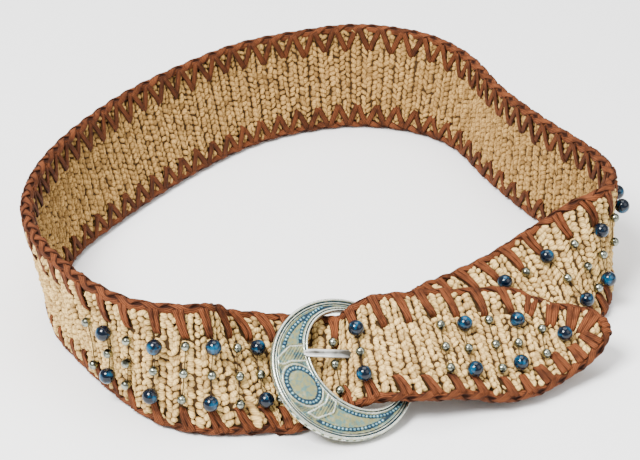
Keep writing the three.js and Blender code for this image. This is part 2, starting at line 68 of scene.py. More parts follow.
PLAN_CENTRE = (4.27, 171.34)

# Measures that several pieces share, in millimetres: the lacing's thickness, the pitch of the ribs,
# the crochet's thickness on a rib, how much thinner it is between two, and where its stitches end
LACING = 7.0
RIB = 6.8
THICKNESS = 4.2
GROOVE = 0.8
INSET = 4.4

# Bead columns, as BeadColumn names their values
BEAD_COLUMNS = (
    (73, 0, 0, 0, 1, True, "u"), (88, 0, 0, 0, 1, False, "u"), (106.5, 12, 0, 0, 1.1, True, "uml"),
    (119.5, 6.5, 0, 0, 1, False, "uml"), (130.2, 0, 1, 0, 1, True, "uml"), (142, -2, 2, 0, 1, False, "um"),
    (153.5, 0, 3, 0, 1, True, "u"), (167.5, 0, 3, 0, 1, True, "u"), (788, -1.5, -3, 0, 1, False, "ul"),
    (803.3, -2.5, -1, 0, 1, True, "uml"), (816.3, -3, -1, 0, 1, False, "uml"),
    (831.5, -2, 0, 0, 1, True, "uml"), (845.3, -1.5, 1, 0, 1, False, "uml"),
    (857.3, -3, 0, 0, 1, True, "uml"), (869.5, -6, -2, 0.5, 1, False, "uml"),
    (881, -8, -2, 0.5, 1, True, "uml"), (893.5, -4, 0, 0, 1, False, "uml"),
    (905.5, 0, 0, 0, 1, True, "uml"), (926, 5, -1, 0, 1, False, "u"), (926, 5, 1.5, 0, 1, False, "ml"),
    (939, 1, 2, 0, 0.83, True, "uml"), (980.5, -3, -2.3, 0, 0.87, False, "uml"),
    (992.7, -3.5, -3.1, 0, 0.95, True, "uml"), (1008.8, 0, -0.4, 0, 1, False, "uml"),
    (1021.6, -4, 0.2, 0, 0.88, True, "uml"), (1034.5, -3, -6.1, 0, 1, False, "um"),
    (1047.1, 0, -10.5, 0, 1, True, "u"),
)
BEAD_ROWS = {"u": ("upper", 12.0), "m": ("middle", -2.0), "l": ("lower", -15.5)}
ROW_SPAN = BEAD_ROWS["u"][1] - BEAD_ROWS["l"][1]

# Outlines on the buckle's face, along its u and v: the two engraved panels, and the area round
# them and the medallion that has no rows of small beads
UPPER_PANEL = ((-31, 12.8), (-30.5, 16), (-21.4, 19.9), (-14, 17.8), (-15.5, 9), (-23.8, 11.8), (-27.8, 11.4))
LOWER_PANEL = ((-28.6, -14.5), (-24.8, -19.3), (-15.4, -19.3), (-11.4, -15), (-13.5, -9), (-17, -12.6),
               (-23, -13.9))
PICTURE = ((-38, 12.6), (-30.5, 16.4), (-21.4, 20.4), (-12, 18.4), (-12, 8), (-9, -8), (-9.6, -15),
           (-15.2, -19.8), (-25, -19.8), (-34, -19))


class Side(Enum):
    """An edge of the strap; the value points along the strap's width."""

    UPPER = 1
    LOWER = -1


class Face(Enum):
    """A face of the strap; the value points along its outward normal."""

    OUTER = 1
    INNER = -1


class StrapFrame(NamedTuple):
    """The strap's middle, its three directions and half its width, at one length or at many."""

    centre: Array
    forward: Array
    across: Array
    outward: Array
    half: Array


class BeadColumn(NamedTuple):
    """A column of beads: its place, how it leans and stands, and the rows that hold a bead."""

    along: float
    slant: float
    rise: float
    proud: float
    spread: float
    big: bool
    rows: str


def unit(vectors: Array) -> Array:
    """Returns the vectors at length 1."""
    return vectors / np.maximum(np.linalg.norm(vectors, axis=-1, keepdims=True), 1e-12)


def walked(line: Array) -> Array:
    """Returns the distance walked along a line, at each of its points."""
    return np.concatenate([[0], np.cumsum(np.linalg.norm(np.diff(line, axis=0), axis=1))])


def read_at(table: Array, run: Array, at: float | Array) -> Array:
    """Returns a table's columns at other distances than run, which has one for each of its rows."""
    return np.stack([np.interp(at, run, column) for column in table.T], -1)


@dataclass
class Shell:
    """Points and faces of a piece while it is built, in millimetres."""

    points: list[Array] = field(default_factory=list)
    quads: list[Array] = field(default_factory=list)
    uvs: list[Array] = field(default_factory=list)
    tints: list[Array] = field(default_factory=list)
    count: int = 0

    def add(self, points: Array, quads: Array, uv: Array | None = None,
            tint: float | Array = 0.5) -> None:
        """Adds one part of the piece.

        Args:
            points: its points, one row each.
            quads: its faces, four point numbers each.
            uv: its surface coordinates in millimetres, along and across.
            tint: its place between the finish's two colours, from 0 to 1.
        """
        points = points.reshape(-1, 3)
        self.points.append(points)
        self.quads.append(quads.reshape(-1, 4) + self.count)
        self.uvs.append(np.zeros((len(points), 2)) if uv is None else uv.reshape(-1, 2))
        self.tints.append(np.broadcast_to(np.asarray(tint, float), (len(points),)))
        self.count += len(points)

    def build(self, name: str, material: bpy.types.Material, smooth: bool = True) -> bpy.types.Object:
        """Makes the Blender object.

        Args:
            name: the piece's name.
            material: its finish.
            smooth: whether its faces are shaded smooth.

        Returns:
            The new object, linked to the scene.
        """
        points, quads = np.concatenate(self.points) * MM, np.concatenate(self.quads)
        mesh = bpy.data.meshes.new(name)
        mesh.vertices.add(len(points))
        mesh.vertices.foreach_set("co", points.astype(np.float32).ravel())
        mesh.loops.add(quads.size)
        mesh.loops.foreach_set("vertex_index", quads.astype(np.int32).ravel())
        mesh.polygons.add(len(quads))
        mesh.polygons.foreach_set("loop_start", np.arange(0, quads.size, 4, dtype=np.int32))
        mesh.polygons.foreach_set("use_smooth", np.full(len(quads), smooth))
        layer = mesh.uv_layers.new(name="lay")
        uv = np.concatenate(self.uvs)[quads.ravel()] * MM
        layer.data.foreach_set("uv", uv.astype(np.float32).ravel())
        tint = mesh.attributes.new("tint", "FLOAT", "POINT")
        tint.data.foreach_set("value", np.concatenate(self.tints).astype(np.float32))
        mesh.validate()
        mesh.update()
        mesh.materials.append(material)
        piece = bpy.data.objects.new(name, mesh)
        bpy.context.scene.collection.objects.link(piece)
        return piece


def finish_piece(piece: bpy.types.Object, slot: str, *nodes: str) -> None:
    """Sets what a piece rides on and stands for.

    Args:
        piece: the object.
        slot: the record's material slot; not used.
        nodes: the CAD nodes that it replaces.
    """
    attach(piece, BODY)
    if nodes:
        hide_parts(*nodes)
    log.info("%s: %d faces", piece.name, len(piece.data.polygons))


def depth_inside(x: Array, y: Array, corners: tuple[tuple[float, float], ...]) -> Array:
    """Measures how far points lie inside an outline.

    Args:
        x: first coordinates of the points.
        y: second coordinates.
        corners: the outline's corners in order.

    Returns:
        The distance to the outline, negative outside it.
    """
    points = np.stack([x, y], -1)
    nearest, inside = np.full(x.shape, np.inf), np.zeros(x.shape, bool)
    ends = np.array(corners, float)
    for start, end in zip(ends, np.roll(ends, -1, axis=0)):
        way = end - start
        share = np.clip((points - start) @ way / (way @ way), 0, 1)
        nearest = np.minimum(nearest, np.linalg.norm(points - start - share[..., None] * way, axis=-1))
        slope = way[0] / (way[1] if way[1] else 1e-9)
        inside ^= ((start[1] > y) != (end[1] > y)) & (x < slope * (y - start[1]) + start[0])
    return np.where(inside, nearest, -nearest)


def ridge(distance: Array, middle: float, half: float) -> Array:
    """Returns the height of a round ridge: 1 at its middle, 0 from half its width on."""
    return np.sqrt(np.clip(1 - ((distance - middle) / half) ** 2, 0, 1))


def tube_quads(rings: int, sides: int, closed: bool = True, turned: bool = False) -> Array:
    """Lists the faces between rings of points.

    Args:
        rings: how many rings there are.
        sides: points in a ring.
        closed: whether each ring closes on itself.
        turned: whether the rings turn counter-clockwise about the way they follow.

    Returns:
        Faces that look outward, four point numbers each.
    """
    around = np.arange(sides if closed else sides - 1)
    ahead = (around + 1) % sides
    start = np.arange(rings - 1)[:, None] * sides
    quads = np.stack([start + around, start + ahead, start + sides + ahead, start + sides + around], -1)
    return quads.reshape(-1, 4)[:, ::-1 if turned else 1]


STRAND = np.array([(-1, -0.4), (-0.85, -1), (-0.5, -1), (0.5, -1), (0.85, -1), (1, -0.4), (0.85, 0.5),
                   (0.5, 1), (-0.5, 1), (-0.85, 0.5)])
# Painted shade on a flat strand: STRAND_SHADE darkens its edges and its underside, and leaves its top
# lightest
STRAND_SHADE = np.array([0.05, 0.1, 0.3, 0.3, 0.1, 0.05, 0.5, 1.0, 1.0, 0.5])
ROUND = np.array([(math.cos(a), math.sin(a)) for a in np.arange(8) * math.pi / 4])


def sweep(shell: Shell, path: Array, normal: Array, width: Array | float, thick: Array | float,
          section: Array = STRAND, tint: float = 0.5) -> None:
    """Adds a strand that follows a path.

    Args:
        shell: the piece it belongs to.
        path: points of its middle.
        normal: at each point, the way its flat side faces.
        width: its width, at each point or throughout.
        thick: its thickness, at each point or throughout.
        section: its outline, counter-clockwise, 2 by 2.
        tint: its place between the finish's two colours, lowered by painted shade along the edges
        and on the underside of a flat strand.
    """
    count, sides = len(path), len(section)
    shade = STRAND_SHADE if section is STRAND else np.ones(sides)
    tangent = unit(np.gradient(path, axis=0))
    across = unit(np.cross(tangent, normal))
    facing = np.cross(across, tangent)
    width = np.broadcast_to(np.asarray(width, float), (count,))[:, None, None] / 2
    thick = np.broadcast_to(np.asarray(thick, float), (count,))[:, None, None] / 2
    ring = (path[:, None] + across[:, None] * section[None, :, :1] * width
            + facing[:, None] * section[None, :, 1:] * thick)
    quads = tube_quads(count, sides, turned=True)
    low = np.array([(k, k + 1, sides - 2 - k, sides - 1 - k) for k in range(sides // 2 - 1)])
    high = low[:, ::-1] + (count - 1) * sides
    uv = np.stack(np.broadcast_arrays(walked(path)[:, None], section[None, :, 0] * width[:, :, 0]), -1)
    shell.add(ring, np.concatenate([quads, low, high]), uv, np.tile(shade * tint, count))


class Course:
    """The strap's course: a smooth curve through the rows of COURSE, walked by its length."""

    steps: int = 1200
    tips: dict[Side, tuple[float, float]] = {Side.UPPER: (50.0, 1.3), Side.LOWER: (66.0, 1.12)}

    def __init__(self) -> None:
        """Samples the curve and measures it."""
        rows = np.array(COURSE, float)
        knots = walked(rows[:, :2])
        last = len(rows) - 1
        before, after = np.maximum(np.arange(last + 1) - 1, 0), np.minimum(np.arange(last + 1) + 1, last)
        slopes = (rows[after] - rows[before]) / (knots[after] - knots[before])[:, None]
        knot = np.linspace(0, knots[-1], self.steps + 1)
        i = np.clip(np.searchsorted(knots, knot, side="left") - 1, 0, last - 1)
        span = (knots[i + 1] - knots[i])[:, None]
        t = (knot - knots[i])[:, None] / span
        a, b, sa, sb = rows[i], rows[i + 1], slopes[i] * span, slopes[i + 1] * span
        value = ((2 * t**3 - 3 * t**2 + 1) * a + (t**3 - 2 * t**2 + t) * sa
                 + (3 * t**2 - 2 * t**3) * b + (t**3 - t**2) * sb)
        slope = ((6 * t**2 - 6 * t) * a + (3 * t**2 - 4 * t + 1) * sa
                 + (6 * t - 6 * t**2) * b + (3 * t**2 - 2 * t) * sb)
        x, y, lean, lift, width = value.T
        lift, lean = np.maximum(lift, 0), np.radians(lean)
        heading = unit(slope[:, :2])
        self._across = np.stack(
            [-heading[:, 1] * np.sin(lean), heading[:, 0] * np.sin(lean), np.cos(lean)], 1)
        reach = (width - LACING) / 2
        self._centre = np.stack(
            [x - PLAN_CENTRE[0], y - PLAN_CENTRE[1], lift + LACING / 2 + reach * np.cos(lean)], 1)
        self._half = width / 2
        self._run = walked(self._centre)
        self.length = float(self._run[-1])

    def _read(self, table: Array, along: Array) -> Array:
        """Returns a table's columns at lengths along the strap."""
        return read_at(table, self._run, along)

    def frames(self, along: Array) -> StrapFrame:
        """Reads the strap's frame.

        Args:
            along: lengths along its middle.

        Returns:
            The frame at each of them.
        """
        along = np.clip(np.asarray(along, float), 0, self.length)
        centre, across = self._read(self._centre, along), unit(self._read(self._across, along))
        step = 0.6
        forward = self._read(self._centre, along + step) - self._read(self._centre, along - step)
        forward = unit(forward - across * np.sum(forward * across, -1, keepdims=True))
        half = np.interp(along, self._run, self._half)
        return StrapFrame(centre, forward, across, np.cross(forward, across), half)

    def points(self, along: Array, across: Array, out: Array) -> Array:
        """Places points of the strap's own space.

        Args:
            along: length along its middle.
            across: distance from the middle, to the upper edge if positive.
            out: distance from the middle of its thickness, outward if positive.

        Returns:
            The points in the row frame, in millimetres.
        """
        along, across, out = np.broadcast_arrays(*(np.asarray(v, float) for v in (along, across, out)))
        strap = self.frames(along)
        beyond = np.maximum(along - self.length, 0) + np.minimum(along, 0)
        return (strap.centre + strap.forward * beyond[..., None] + strap.across * across[..., None]
                + strap.outward * out[..., None])

    def half_width(self, along: Array, side: Side) -> Array:
        """Measures from the middle to an edge, which rounds in at the tail's tip.

        Args:
            along: lengths along the middle.
            side: which edge.

        Returns:
            The distance at each length.
        """
        length, fullness = self.tips[side]
        rest = np.clip(self.length - np.asarray(along, float), 0, length)
        return self.frames(along).half * np.sqrt(np.clip(1 - (1 - rest / length) ** fullness, 0, 1))

    def inside(self, along: Array, side: Side, inset: float) -> Array:
        """Returns the distance from the middle to a line that runs inside an edge."""
        line = self.edge(side, inset)
        return np.interp(along, line[:, 0], line[:, 1] * side.value)

    def edge(self, side: Side, inset: float) -> Array:
        """Draws an edge on the flat pattern.

        Args:
            side: which edge.
            inset: how far inside the edge the line runs.

        Returns:
            Rows of along, across and the outward normal's two parts, from the start to the tip.
        """
        length = self.tips[side][0]
        along = np.concatenate([np.arange(0, self.length - length, 2.0),
                                self.length - length * (1 - np.linspace(0, 1, 80)) ** 2])
        line = np.stack([along, self.half_width(along, side)], 1)
        way = unit(np.gradient(line, axis=0))
        normal = np.stack([-way[:, 1], way[:, 0]], 1)
        normal[-1] = (1, 0)
        line = line - normal * inset
        keep = (line[:, 1] > 0.6) & (line[:, 0] < self.length - inset - 0.2)
        line, normal = line[keep], normal[keep]
        line = np.vstack([line, (self.length - inset, 0.3)])
        normal = np.vstack([normal, (1, 0)])
        return np.column_stack([line[:, 0], line[:, 1] * side.value, normal[:, 0], normal[:, 1] * side.value])


class NodeTree:
    """Short ways to build a node tree."""

    def __init__(self, tree: bpy.types.NodeTree) -> None:
        """Holds the tree."""
        self.tree = tree

    def add(self, kind: str, **values: object) -> bpy.types.Node:
        """Adds a node.

        Args:
            kind: the node's type, without its ShaderNode prefix.
            values: attributes, or sockets by name with spaces as underscores. A node's output
                socket is linked, and anything else is set.

        Returns:
            The node.
        """
        node = self.tree.nodes.new("ShaderNode" + kind)
        for key, value in values.items():
            if hasattr(node, key) and key not in {"inputs", "outputs"}:
                setattr(node, key, value)
            else:
                self.feed(node.inputs[key.replace("_", " ")], value)
        return node

    def feed(self, socket: bpy.types.NodeSocket, value: object) -> None:
        """Feeds an input socket.

        Args:
            socket: the input.
            value: an output socket to link to it, or its value.
        """
        if isinstance(value, bpy.types.NodeSocket):
            self.tree.links.new(value, socket)
        else:
            socket.default_value = value

    def math(self, operation: str, *values: object, clamp: bool = False) -> bpy.types.NodeSocket:
        """Adds a Math node.

        Args:
            operation: what it works out.
            values: its values in order, each a number or an output socket.
            clamp: whether the result is held between 0 and 1.

        Returns:
            The result.
        """
        node = self.add("Math", operation=operation, use_clamp=clamp)
        for socket, value in zip(node.inputs, values):
            self.feed(socket, value)
        return node.outputs[0]

    def mix(self, share: object, a: object, b: object) -> bpy.types.NodeSocket:
        """Mixes two colours.

        Args:
            share: how much of b shows.
            a: a colour or colour socket.
            b: the other one.

        Returns:
            The mixed colour.
        """
        node = self.add("Mix", data_type="RGBA")
        self.feed(node.inputs[0], share)
        for socket, value in ((node.inputs[6], a), (node.inputs[7], b)):
            self.feed(socket, value if isinstance(value, bpy.types.NodeSocket) else (*value, 1.0))
        return node.outputs[2]

    def spread(self, value: object, low: float, high: float, to_low: float = 0.0,
               to_high: float = 1.0) -> bpy.types.NodeSocket:
        """Maps a range of values to another, held at its ends.

        Args:
            value: the value or its socket.
            low: where the range starts.
            high: where it ends.
            to_low: the result at its start.
            to_high: the result at its end.

        Returns:
            The result.
        """
        node = self.add("MapRange", clamp=True)
        for name, part in zip(("Value", "From Min", "From Max", "To Min", "To Max"),
                              (value, low, high, to_low, to_high)):
            self.feed(node.inputs[name], part)
        return node.outputs[0]

    def tint(self) -> bpy.types.NodeSocket:
        """Returns each point's own place between a finish's two colours."""
        return self.add("Attribute", attribute_name="tint").outputs["Fac"]

    def bump(self, shader: bpy.types.Node, height: bpy.types.NodeSocket, distance: float,
             strength: float) -> None:
        """Adds fine relief to a shader.

        Args:
            shader: the Principled shader.
            height: the relief, from 0 to 1.
            distance: how high 1 stands, in metres.
            strength: how strongly it shows.
        """
        node = self.add("Bump", Height=height, Distance=distance, Strength=strength)
        self.feed(shader.inputs["Normal"], node.outputs[0])


def make_group(name: str, inputs: dict[str, tuple[str, float]], outputs: dict[str, str]
               ) -> tuple[bpy.types.ShaderNodeTree, NodeTree, bpy.types.Node, bpy.types.Node]:
    """Starts a shader node group.

    Args:
        name: the group's name.
        inputs: input sockets, each with its type and value.
        outputs: output sockets with their types.

    Returns:
        The group, a builder for it, and its input and output nodes.
    """
    group = bpy.data.node_groups.new(name, "ShaderNodeTree")
    for key, (kind, value) in inputs.items():
        socket = group.interface.new_socket(name=key, in_out="INPUT", socket_type="NodeSocket" + kind)
        socket.default_value = value
    for key, kind in outputs.items():
        group.interface.new_socket(name=key, in_out="OUTPUT", socket_type="NodeSocket" + kind)
    tree = NodeTree(group)
    return group, tree, tree.tree.nodes.new("NodeGroupInput"), tree.tree.nodes.new("NodeGroupOutput")


class Effects:
    """Shader effects that several finishes share, each built once."""

    def __init__(self) -> None:
        """Builds the groups."""
        self.cloud = self._cloud()
        self.twist = self._twist()

    @staticmethod
    def _cloud() -> bpy.types.ShaderNodeTree:
        """Builds uneven colour and fine fuzz.

        Returns:
            The group, which puts out a mask and a height.
        """
        group, tree, given, result = make_group(
            "uneven_surface",
            {"Patch Size": ("Float", 0.02), "Grain Size": ("Float", 0.0006), "Contrast": ("Float", 1.0)},
            {"Patches": "Float", "Grain": "Float"})
        place = tree.add("TexCoord").outputs["Object"]
        patch = tree.add("TexNoise", Vector=place, Scale=tree.math("DIVIDE", 1.0, given.outputs[0]),
                         Detail=3.0)
        grain = tree.add("TexNoise", Vector=place, Scale=tree.math("DIVIDE", 1.0, given.outputs[1]),
                         Detail=4.0, Roughness=0.65)
        centred = tree.math("SUBTRACT", patch.outputs[0], 0.5)
        patches = tree.math("ADD", tree.math("MULTIPLY", centred, given.outputs[2]), 0.5, clamp=True)
        tree.feed(result.inputs[0], patches)
        tree.feed(result.inputs[1], grain.outputs[0])
        return group

    @staticmethod
    def _twist() -> bpy.types.ShaderNodeTree:
        """Builds slanting strands on a yarn or lace.

        Returns:
            The group, which puts out a height from 0 to 1.
        """
        group, tree, given, result = make_group(
            "twisted_strands",
            {"Pitch": ("Float", 0.0011), "Slant": ("Float", 0.6), "Wander": ("Float", 0.25)},
            {"Height": "Float"})
        uv = tree.add("UVMap", uv_map="lay").outputs[0]
        parts = tree.add("SeparateXYZ", Vector=uv)
        noise = tree.add("TexNoise", Vector=tree.add("TexCoord").outputs["Object"], Scale=900.0, Detail=2.0)
        along = tree.math("ADD", parts.outputs[0], tree.math("MULTIPLY", parts.outputs[1], given.outputs[1]))
        turn = tree.math("DIVIDE", along, given.outputs[0])
        turn = tree.math("ADD", turn, tree.math("MULTIPLY", noise.outputs[0], given.outputs[2]))
        wave = tree.math("SINE", tree.math("MULTIPLY", turn, 2 * math.pi))
        tree.feed(result.inputs[0], tree.math("MULTIPLY_ADD", wave, 0.5, 0.5))
        return group


def new_material(name: str) -> tuple[bpy.types.Material, NodeTree, bpy.types.Node]:
    """Starts a material.

    Args:
        name: its name.

    Returns:
        The material, a builder for its nodes, and its Principled shader.
    """
    material = bpy.data.materials.new(name)
    material.use_nodes = True
    return material, NodeTree(material.node_tree), material.node_tree.nodes["Principled BSDF"]


@dataclass(frozen=True)
class YarnFinish:
    """Cotton yarn: soft, uneven in colour, with twisted plies."""

    name: str
    light: Colour
    dark: Colour
    depth: float = 0.00025

    def build(self, effects: Effects) -> bpy.types.Material:
        """Makes the material.

        Args:
            effects: the shared effects.

        Returns:
            The material.
        """
        material, tree, shader = new_material(self.name)
        cloud = tree.add("Group", node_tree=effects.cloud, Patch_Size=0.018)
        twist = tree.add("Group", node_tree=effects.twist, Pitch=0.0015)
        uneven = tree.spread(cloud.outputs["Patches"], 0.2, 0.8, 0.75, 1.2)
        # Painted shade: low tint (the painted shade of stitches and strands) and the plies' grooves both lean
        # towards the dark colour
        colour = tree.mix(tree.math("MULTIPLY", tree.tint(), uneven, clamp=True), self.dark, self.light)
        ply_shade = tree.spread(twist.outputs[0], 0.0, 0.5, 0.6, 1.0)
        tree.feed(shader.inputs["Base Color"], tree.mix(ply_shade, self.dark, colour))
        shader.inputs["Roughness"].default_value = 0.92
        shader.inputs["Specular IOR Level"].default_value = 0.12
        height = tree.math("ADD", tree.math("MULTIPLY", twist.outputs[0], 0.6),
                           tree.math("MULTIPLY", cloud.outputs["Grain"], 0.8))
        tree.bump(shader, height, self.depth, 1.0)
        return material


@dataclass(frozen=True)
class SuedeFinish:
    """Suede or leather: a nap with uneven rubbed patches, and painted shade in its lengthwise grooves."""

    name: str
    light: Colour
    dark: Colour
    roughness: float = 0.8
    grain: float = 0.0007

    def build(self, effects: Effects) -> bpy.types.Material:
        """Makes the material.

        Args:
            effects: the shared effects.

        Returns:
            The material.
        """
        material, tree, shader = new_material(self.name)
        cloud = tree.add("Group", node_tree=effects.cloud, Patch_Size=0.006, Grain_Size=self.grain,
                         Contrast=1.8)
        twist = tree.add("Group", node_tree=effects.twist, Pitch=0.0075, Slant=8.0, Wander=0.5)
        wear = tree.spread(cloud.outputs["Patches"], 0.1, 0.9, 0.3, 1.75)
        # Painted shade: darker between the lengthwise ridges of the nap, lighter on them
        groove_shade = tree.spread(twist.outputs[0], 0.05, 0.6, 0.2, 1.12)
        share = tree.math("MULTIPLY", tree.tint(), tree.math("MULTIPLY", wear, groove_shade), clamp=True)
        tree.feed(shader.inputs["Base Color"], tree.mix(share, self.dark, self.light))
        shader.inputs["Roughness"].default_value = self.roughness
        shader.inputs["Specular IOR Level"].default_value = 0.12
        height = tree.math("ADD", tree.math("MULTIPLY", twist.outputs[0], 0.3), cloud.outputs["Grain"])
        tree.bump(shader, height, 0.0003, 0.8)
        return material


@dataclass(frozen=True)
class GlassFinish:
    """Coloured glass of a bead, with lighter patches of painted glow, as of light passing through it."""

    name: str
    deep: Colour
    bright: Colour

    def build(self, effects: Effects) -> bpy.types.Material:
        """Makes the material.

        Args:
            effects: the shared effects.

        Returns:
            The material.
        """
        material, tree, shader = new_material(self.name)
        cloud = tree.add("Group", node_tree=effects.cloud, Patch_Size=0.004, Contrast=2.5)
        # Painted glow: lighter patches stand for light passing through the glass
        painted_glow = tree.spread(cloud.outputs["Patches"], 0.5, 1.0)
        share = tree.math("MULTIPLY", painted_glow, tree.tint(), clamp=True)
        tree.feed(shader.inputs["Base Color"], tree.mix(share, self.deep, self.bright))
        shader.inputs["Roughness"].default_value = 0.05
        shader.inputs["IOR"].default_value = 1.52
        shader.inputs["Specular IOR Level"].default_value = 0.35
        return material


@dataclass(frozen=True)
class MetalFinish:
    """Aged metal: patchy tarnish, and a tint from tarnished to bright that also carries painted light and
    shade.
    """

    name: str
    bright: Colour
    tarnish: Colour
    roughness: float
    patch: float = 0.005
    metallic: float = 1.0
    uneven: float = 0.8

    def build(self, effects: Effects) -> bpy.types.Material:
        """Makes the material.

        Args:
            effects: the shared effects.

        Returns:
            The material.
        """
        material, tree, shader = new_material(self.name)
        cloud = tree.add("Group", node_tree=effects.cloud, Patch_Size=self.patch, Grain_Size=0.0005,
                         Contrast=1.8)
        wear = tree.math("MULTIPLY", tree.math("SUBTRACT", cloud.outputs["Patches"], 0.5), self.uneven)
        share = tree.math("ADD", tree.tint(), wear, clamp=True)
        tree.feed(shader.inputs["Base Color"], tree.mix(share, self.tarnish, self.bright))
        tree.feed(shader.inputs["Roughness"],
                  tree.spread(share, 0.0, 1.0, min(self.roughness + 0.3, 1.0), self.roughness))
        shader.inputs["Metallic"].default_value = self.metallic
        tree.bump(shader, cloud.outputs["Grain"], 0.0001, 0.6)
        return material


@dataclass(frozen=True)
class CastFinish:
    """Cast metal with a blue-green bloom: dark when sunk, plain between, bright when raised."""

    name: str
    sunk: Colour
    plain: Colour
    bloom: Colour
    raised: Colour

    def build(self, effects: Effects) -> bpy.types.Material:
        """Makes the material.

        Args:
            effects: the shared effects.

        Returns:
            The material.
        """
        material, tree, shader = new_material(self.name)
        cloud = tree.add("Group", node_tree=effects.cloud, Patch_Size=0.0035, Grain_Size=0.0005,
                         Contrast=1.6)
        bloom = tree.add("Group", node_tree=effects.cloud, Patch_Size=0.002, Contrast=2.8)
        wear = tree.math("MULTIPLY", tree.math("SUBTRACT", cloud.outputs["Patches"], 0.5), 0.45)
        share = tree.math("ADD", tree.tint(), wear, clamp=True)
        plain = tree.mix(tree.spread(bloom.outputs["Patches"], 0.4, 0.8), self.plain, self.bloom)
        low = tree.mix(tree.spread(share, 0.1, 0.4), self.sunk, plain)
        colour = tree.mix(tree.spread(share, 0.5, 0.95), low, self.raised)
        tree.feed(shader.inputs["Base Color"], colour)
        tree.feed(shader.inputs["Metallic"], tree.spread(share, 0.2, 0.9, 0.55, 0.95))
        tree.feed(shader.inputs["Roughness"], tree.spread(share, 0.3, 1.0, 0.55, 0.25))
        tree.bump(shader, cloud.outputs["Grain"], 0.00015, 0.7)
        return material


@dataclass(frozen=True)
class StageFinish:
    """The plain pale floor."""

    name: str = "pale_floor"
    colour: Colour = (0.9, 0.9, 0.9)

    def build(self, effects: Effects) -> bpy.types.Material:
        """Makes the material.

        Args:
            effects: the shared effects.

        Returns:
            The material.
        """
        material, tree, shader = new_material(self.name)
        cloud = tree.add("Group", node_tree=effects.cloud, Patch_Size=0.5)
        low = [c * 0.99 for c in self.colour]
        tree.feed(shader.inputs["Base Color"], tree.mix(cloud.outputs["Patches"], low, self.colour))
        shader.inputs["Roughness"].default_value = 0.9
        return material


Finish = YarnFinish | SuedeFinish | GlassFinish | MetalFinish | CastFinish | StageFinish


@dataclass
class Palette:
    """Every finish of the belt, built."""

    effects: Effects

    def _made(self, finish: Finish) -> bpy.types.Material:
        """Returns a finish's material."""
        return finish.build(self.effects)

    def __post_init__(self) -> None:
        """Builds the materials."""
        made = self._made
        self.yarn_outer = made(YarnFinish("cream_cotton", (0.90, 0.61, 0.225), (0.12, 0.055, 0.015)))
        # The inner face's yarn is darker and browner than the outer cream: partly painted shade on that face,
        # partly its own tone
        self.yarn_inner = made(YarnFinish("inner_cotton_with_painted_shade", (0.51, 0.30, 0.092), (0.10, 0.047, 0.013)))
        # Painted shade: the crochet's core is nearly black-brown so that the gaps between the stitches look
        # shadowed
        self.yarn_core = made(YarnFinish("shaded_cotton", (0.055, 0.028, 0.01), (0.035, 0.018, 0.006)))
        self.lace_outer = made(SuedeFinish("brown_suede", (0.165, 0.048, 0.016), (0.018, 0.0045, 0.0015)))
        # Painted shade: the inner face's suede is a darker copy of the outer suede
        self.lace_inner = made(
            SuedeFinish("brown_suede_inside", (0.118, 0.034, 0.0108), (0.015, 0.0038, 0.0012)))
        self.tab = made(SuedeFinish("brown_leather", (0.16, 0.055, 0.02), (0.05, 0.016, 0.007), 0.55, 0.0012))
        self.glass = made(GlassFinish("blue_glass", (0.0002, 0.003, 0.009), (0.0007, 0.075, 0.155)))
        # Bead steel: its strong unevenness gives dark patches, partly tarnish and partly painted dark
        # reflection
        self.bead_metal = made(
            MetalFinish("bead_steel", (0.30, 0.32, 0.26), (0.008, 0.008, 0.005), 0.1, 0.0022, 1.0, 1.9))
        self.silver = made(CastFinish("antique_silver", (0.008, 0.026, 0.045), (0.25, 0.245, 0.11),
                                      (0.115, 0.21, 0.18), (0.68, 0.70, 0.62)))
        self.patina = made(CastFinish("patina_beads", (0.003, 0.014, 0.035), (0.05, 0.15, 0.185),
                                      (0.02, 0.09, 0.155), (0.48, 0.67, 0.66)))
        self.bright_silver = made(
            MetalFinish("bright_silver", (0.97, 0.97, 0.93), (0.05, 0.045, 0.035), 0.3, 0.008, 0.5))
        self.thread = made(YarnFinish("dark_thread", (0.09, 0.055, 0.028), (0.03, 0.018, 0.009), 0.0001))
        self.floor = made(StageFinish())


@dataclass(frozen=True)
class Unevenness:
    """How the crochet's legs differ: each measure's spread, and sunk legs' share, height and painted shade.
    """

    across: float = 0.3
    along: float = 0.28
    slant: float = 15.0
    size: float = 0.12
    height: float = 0.18
    lift: float = 0.08
    shade: float = 0.18
    sunk: float = 0.06
    sunk_height: float = 0.5
    sunk_shade: float = 0.55


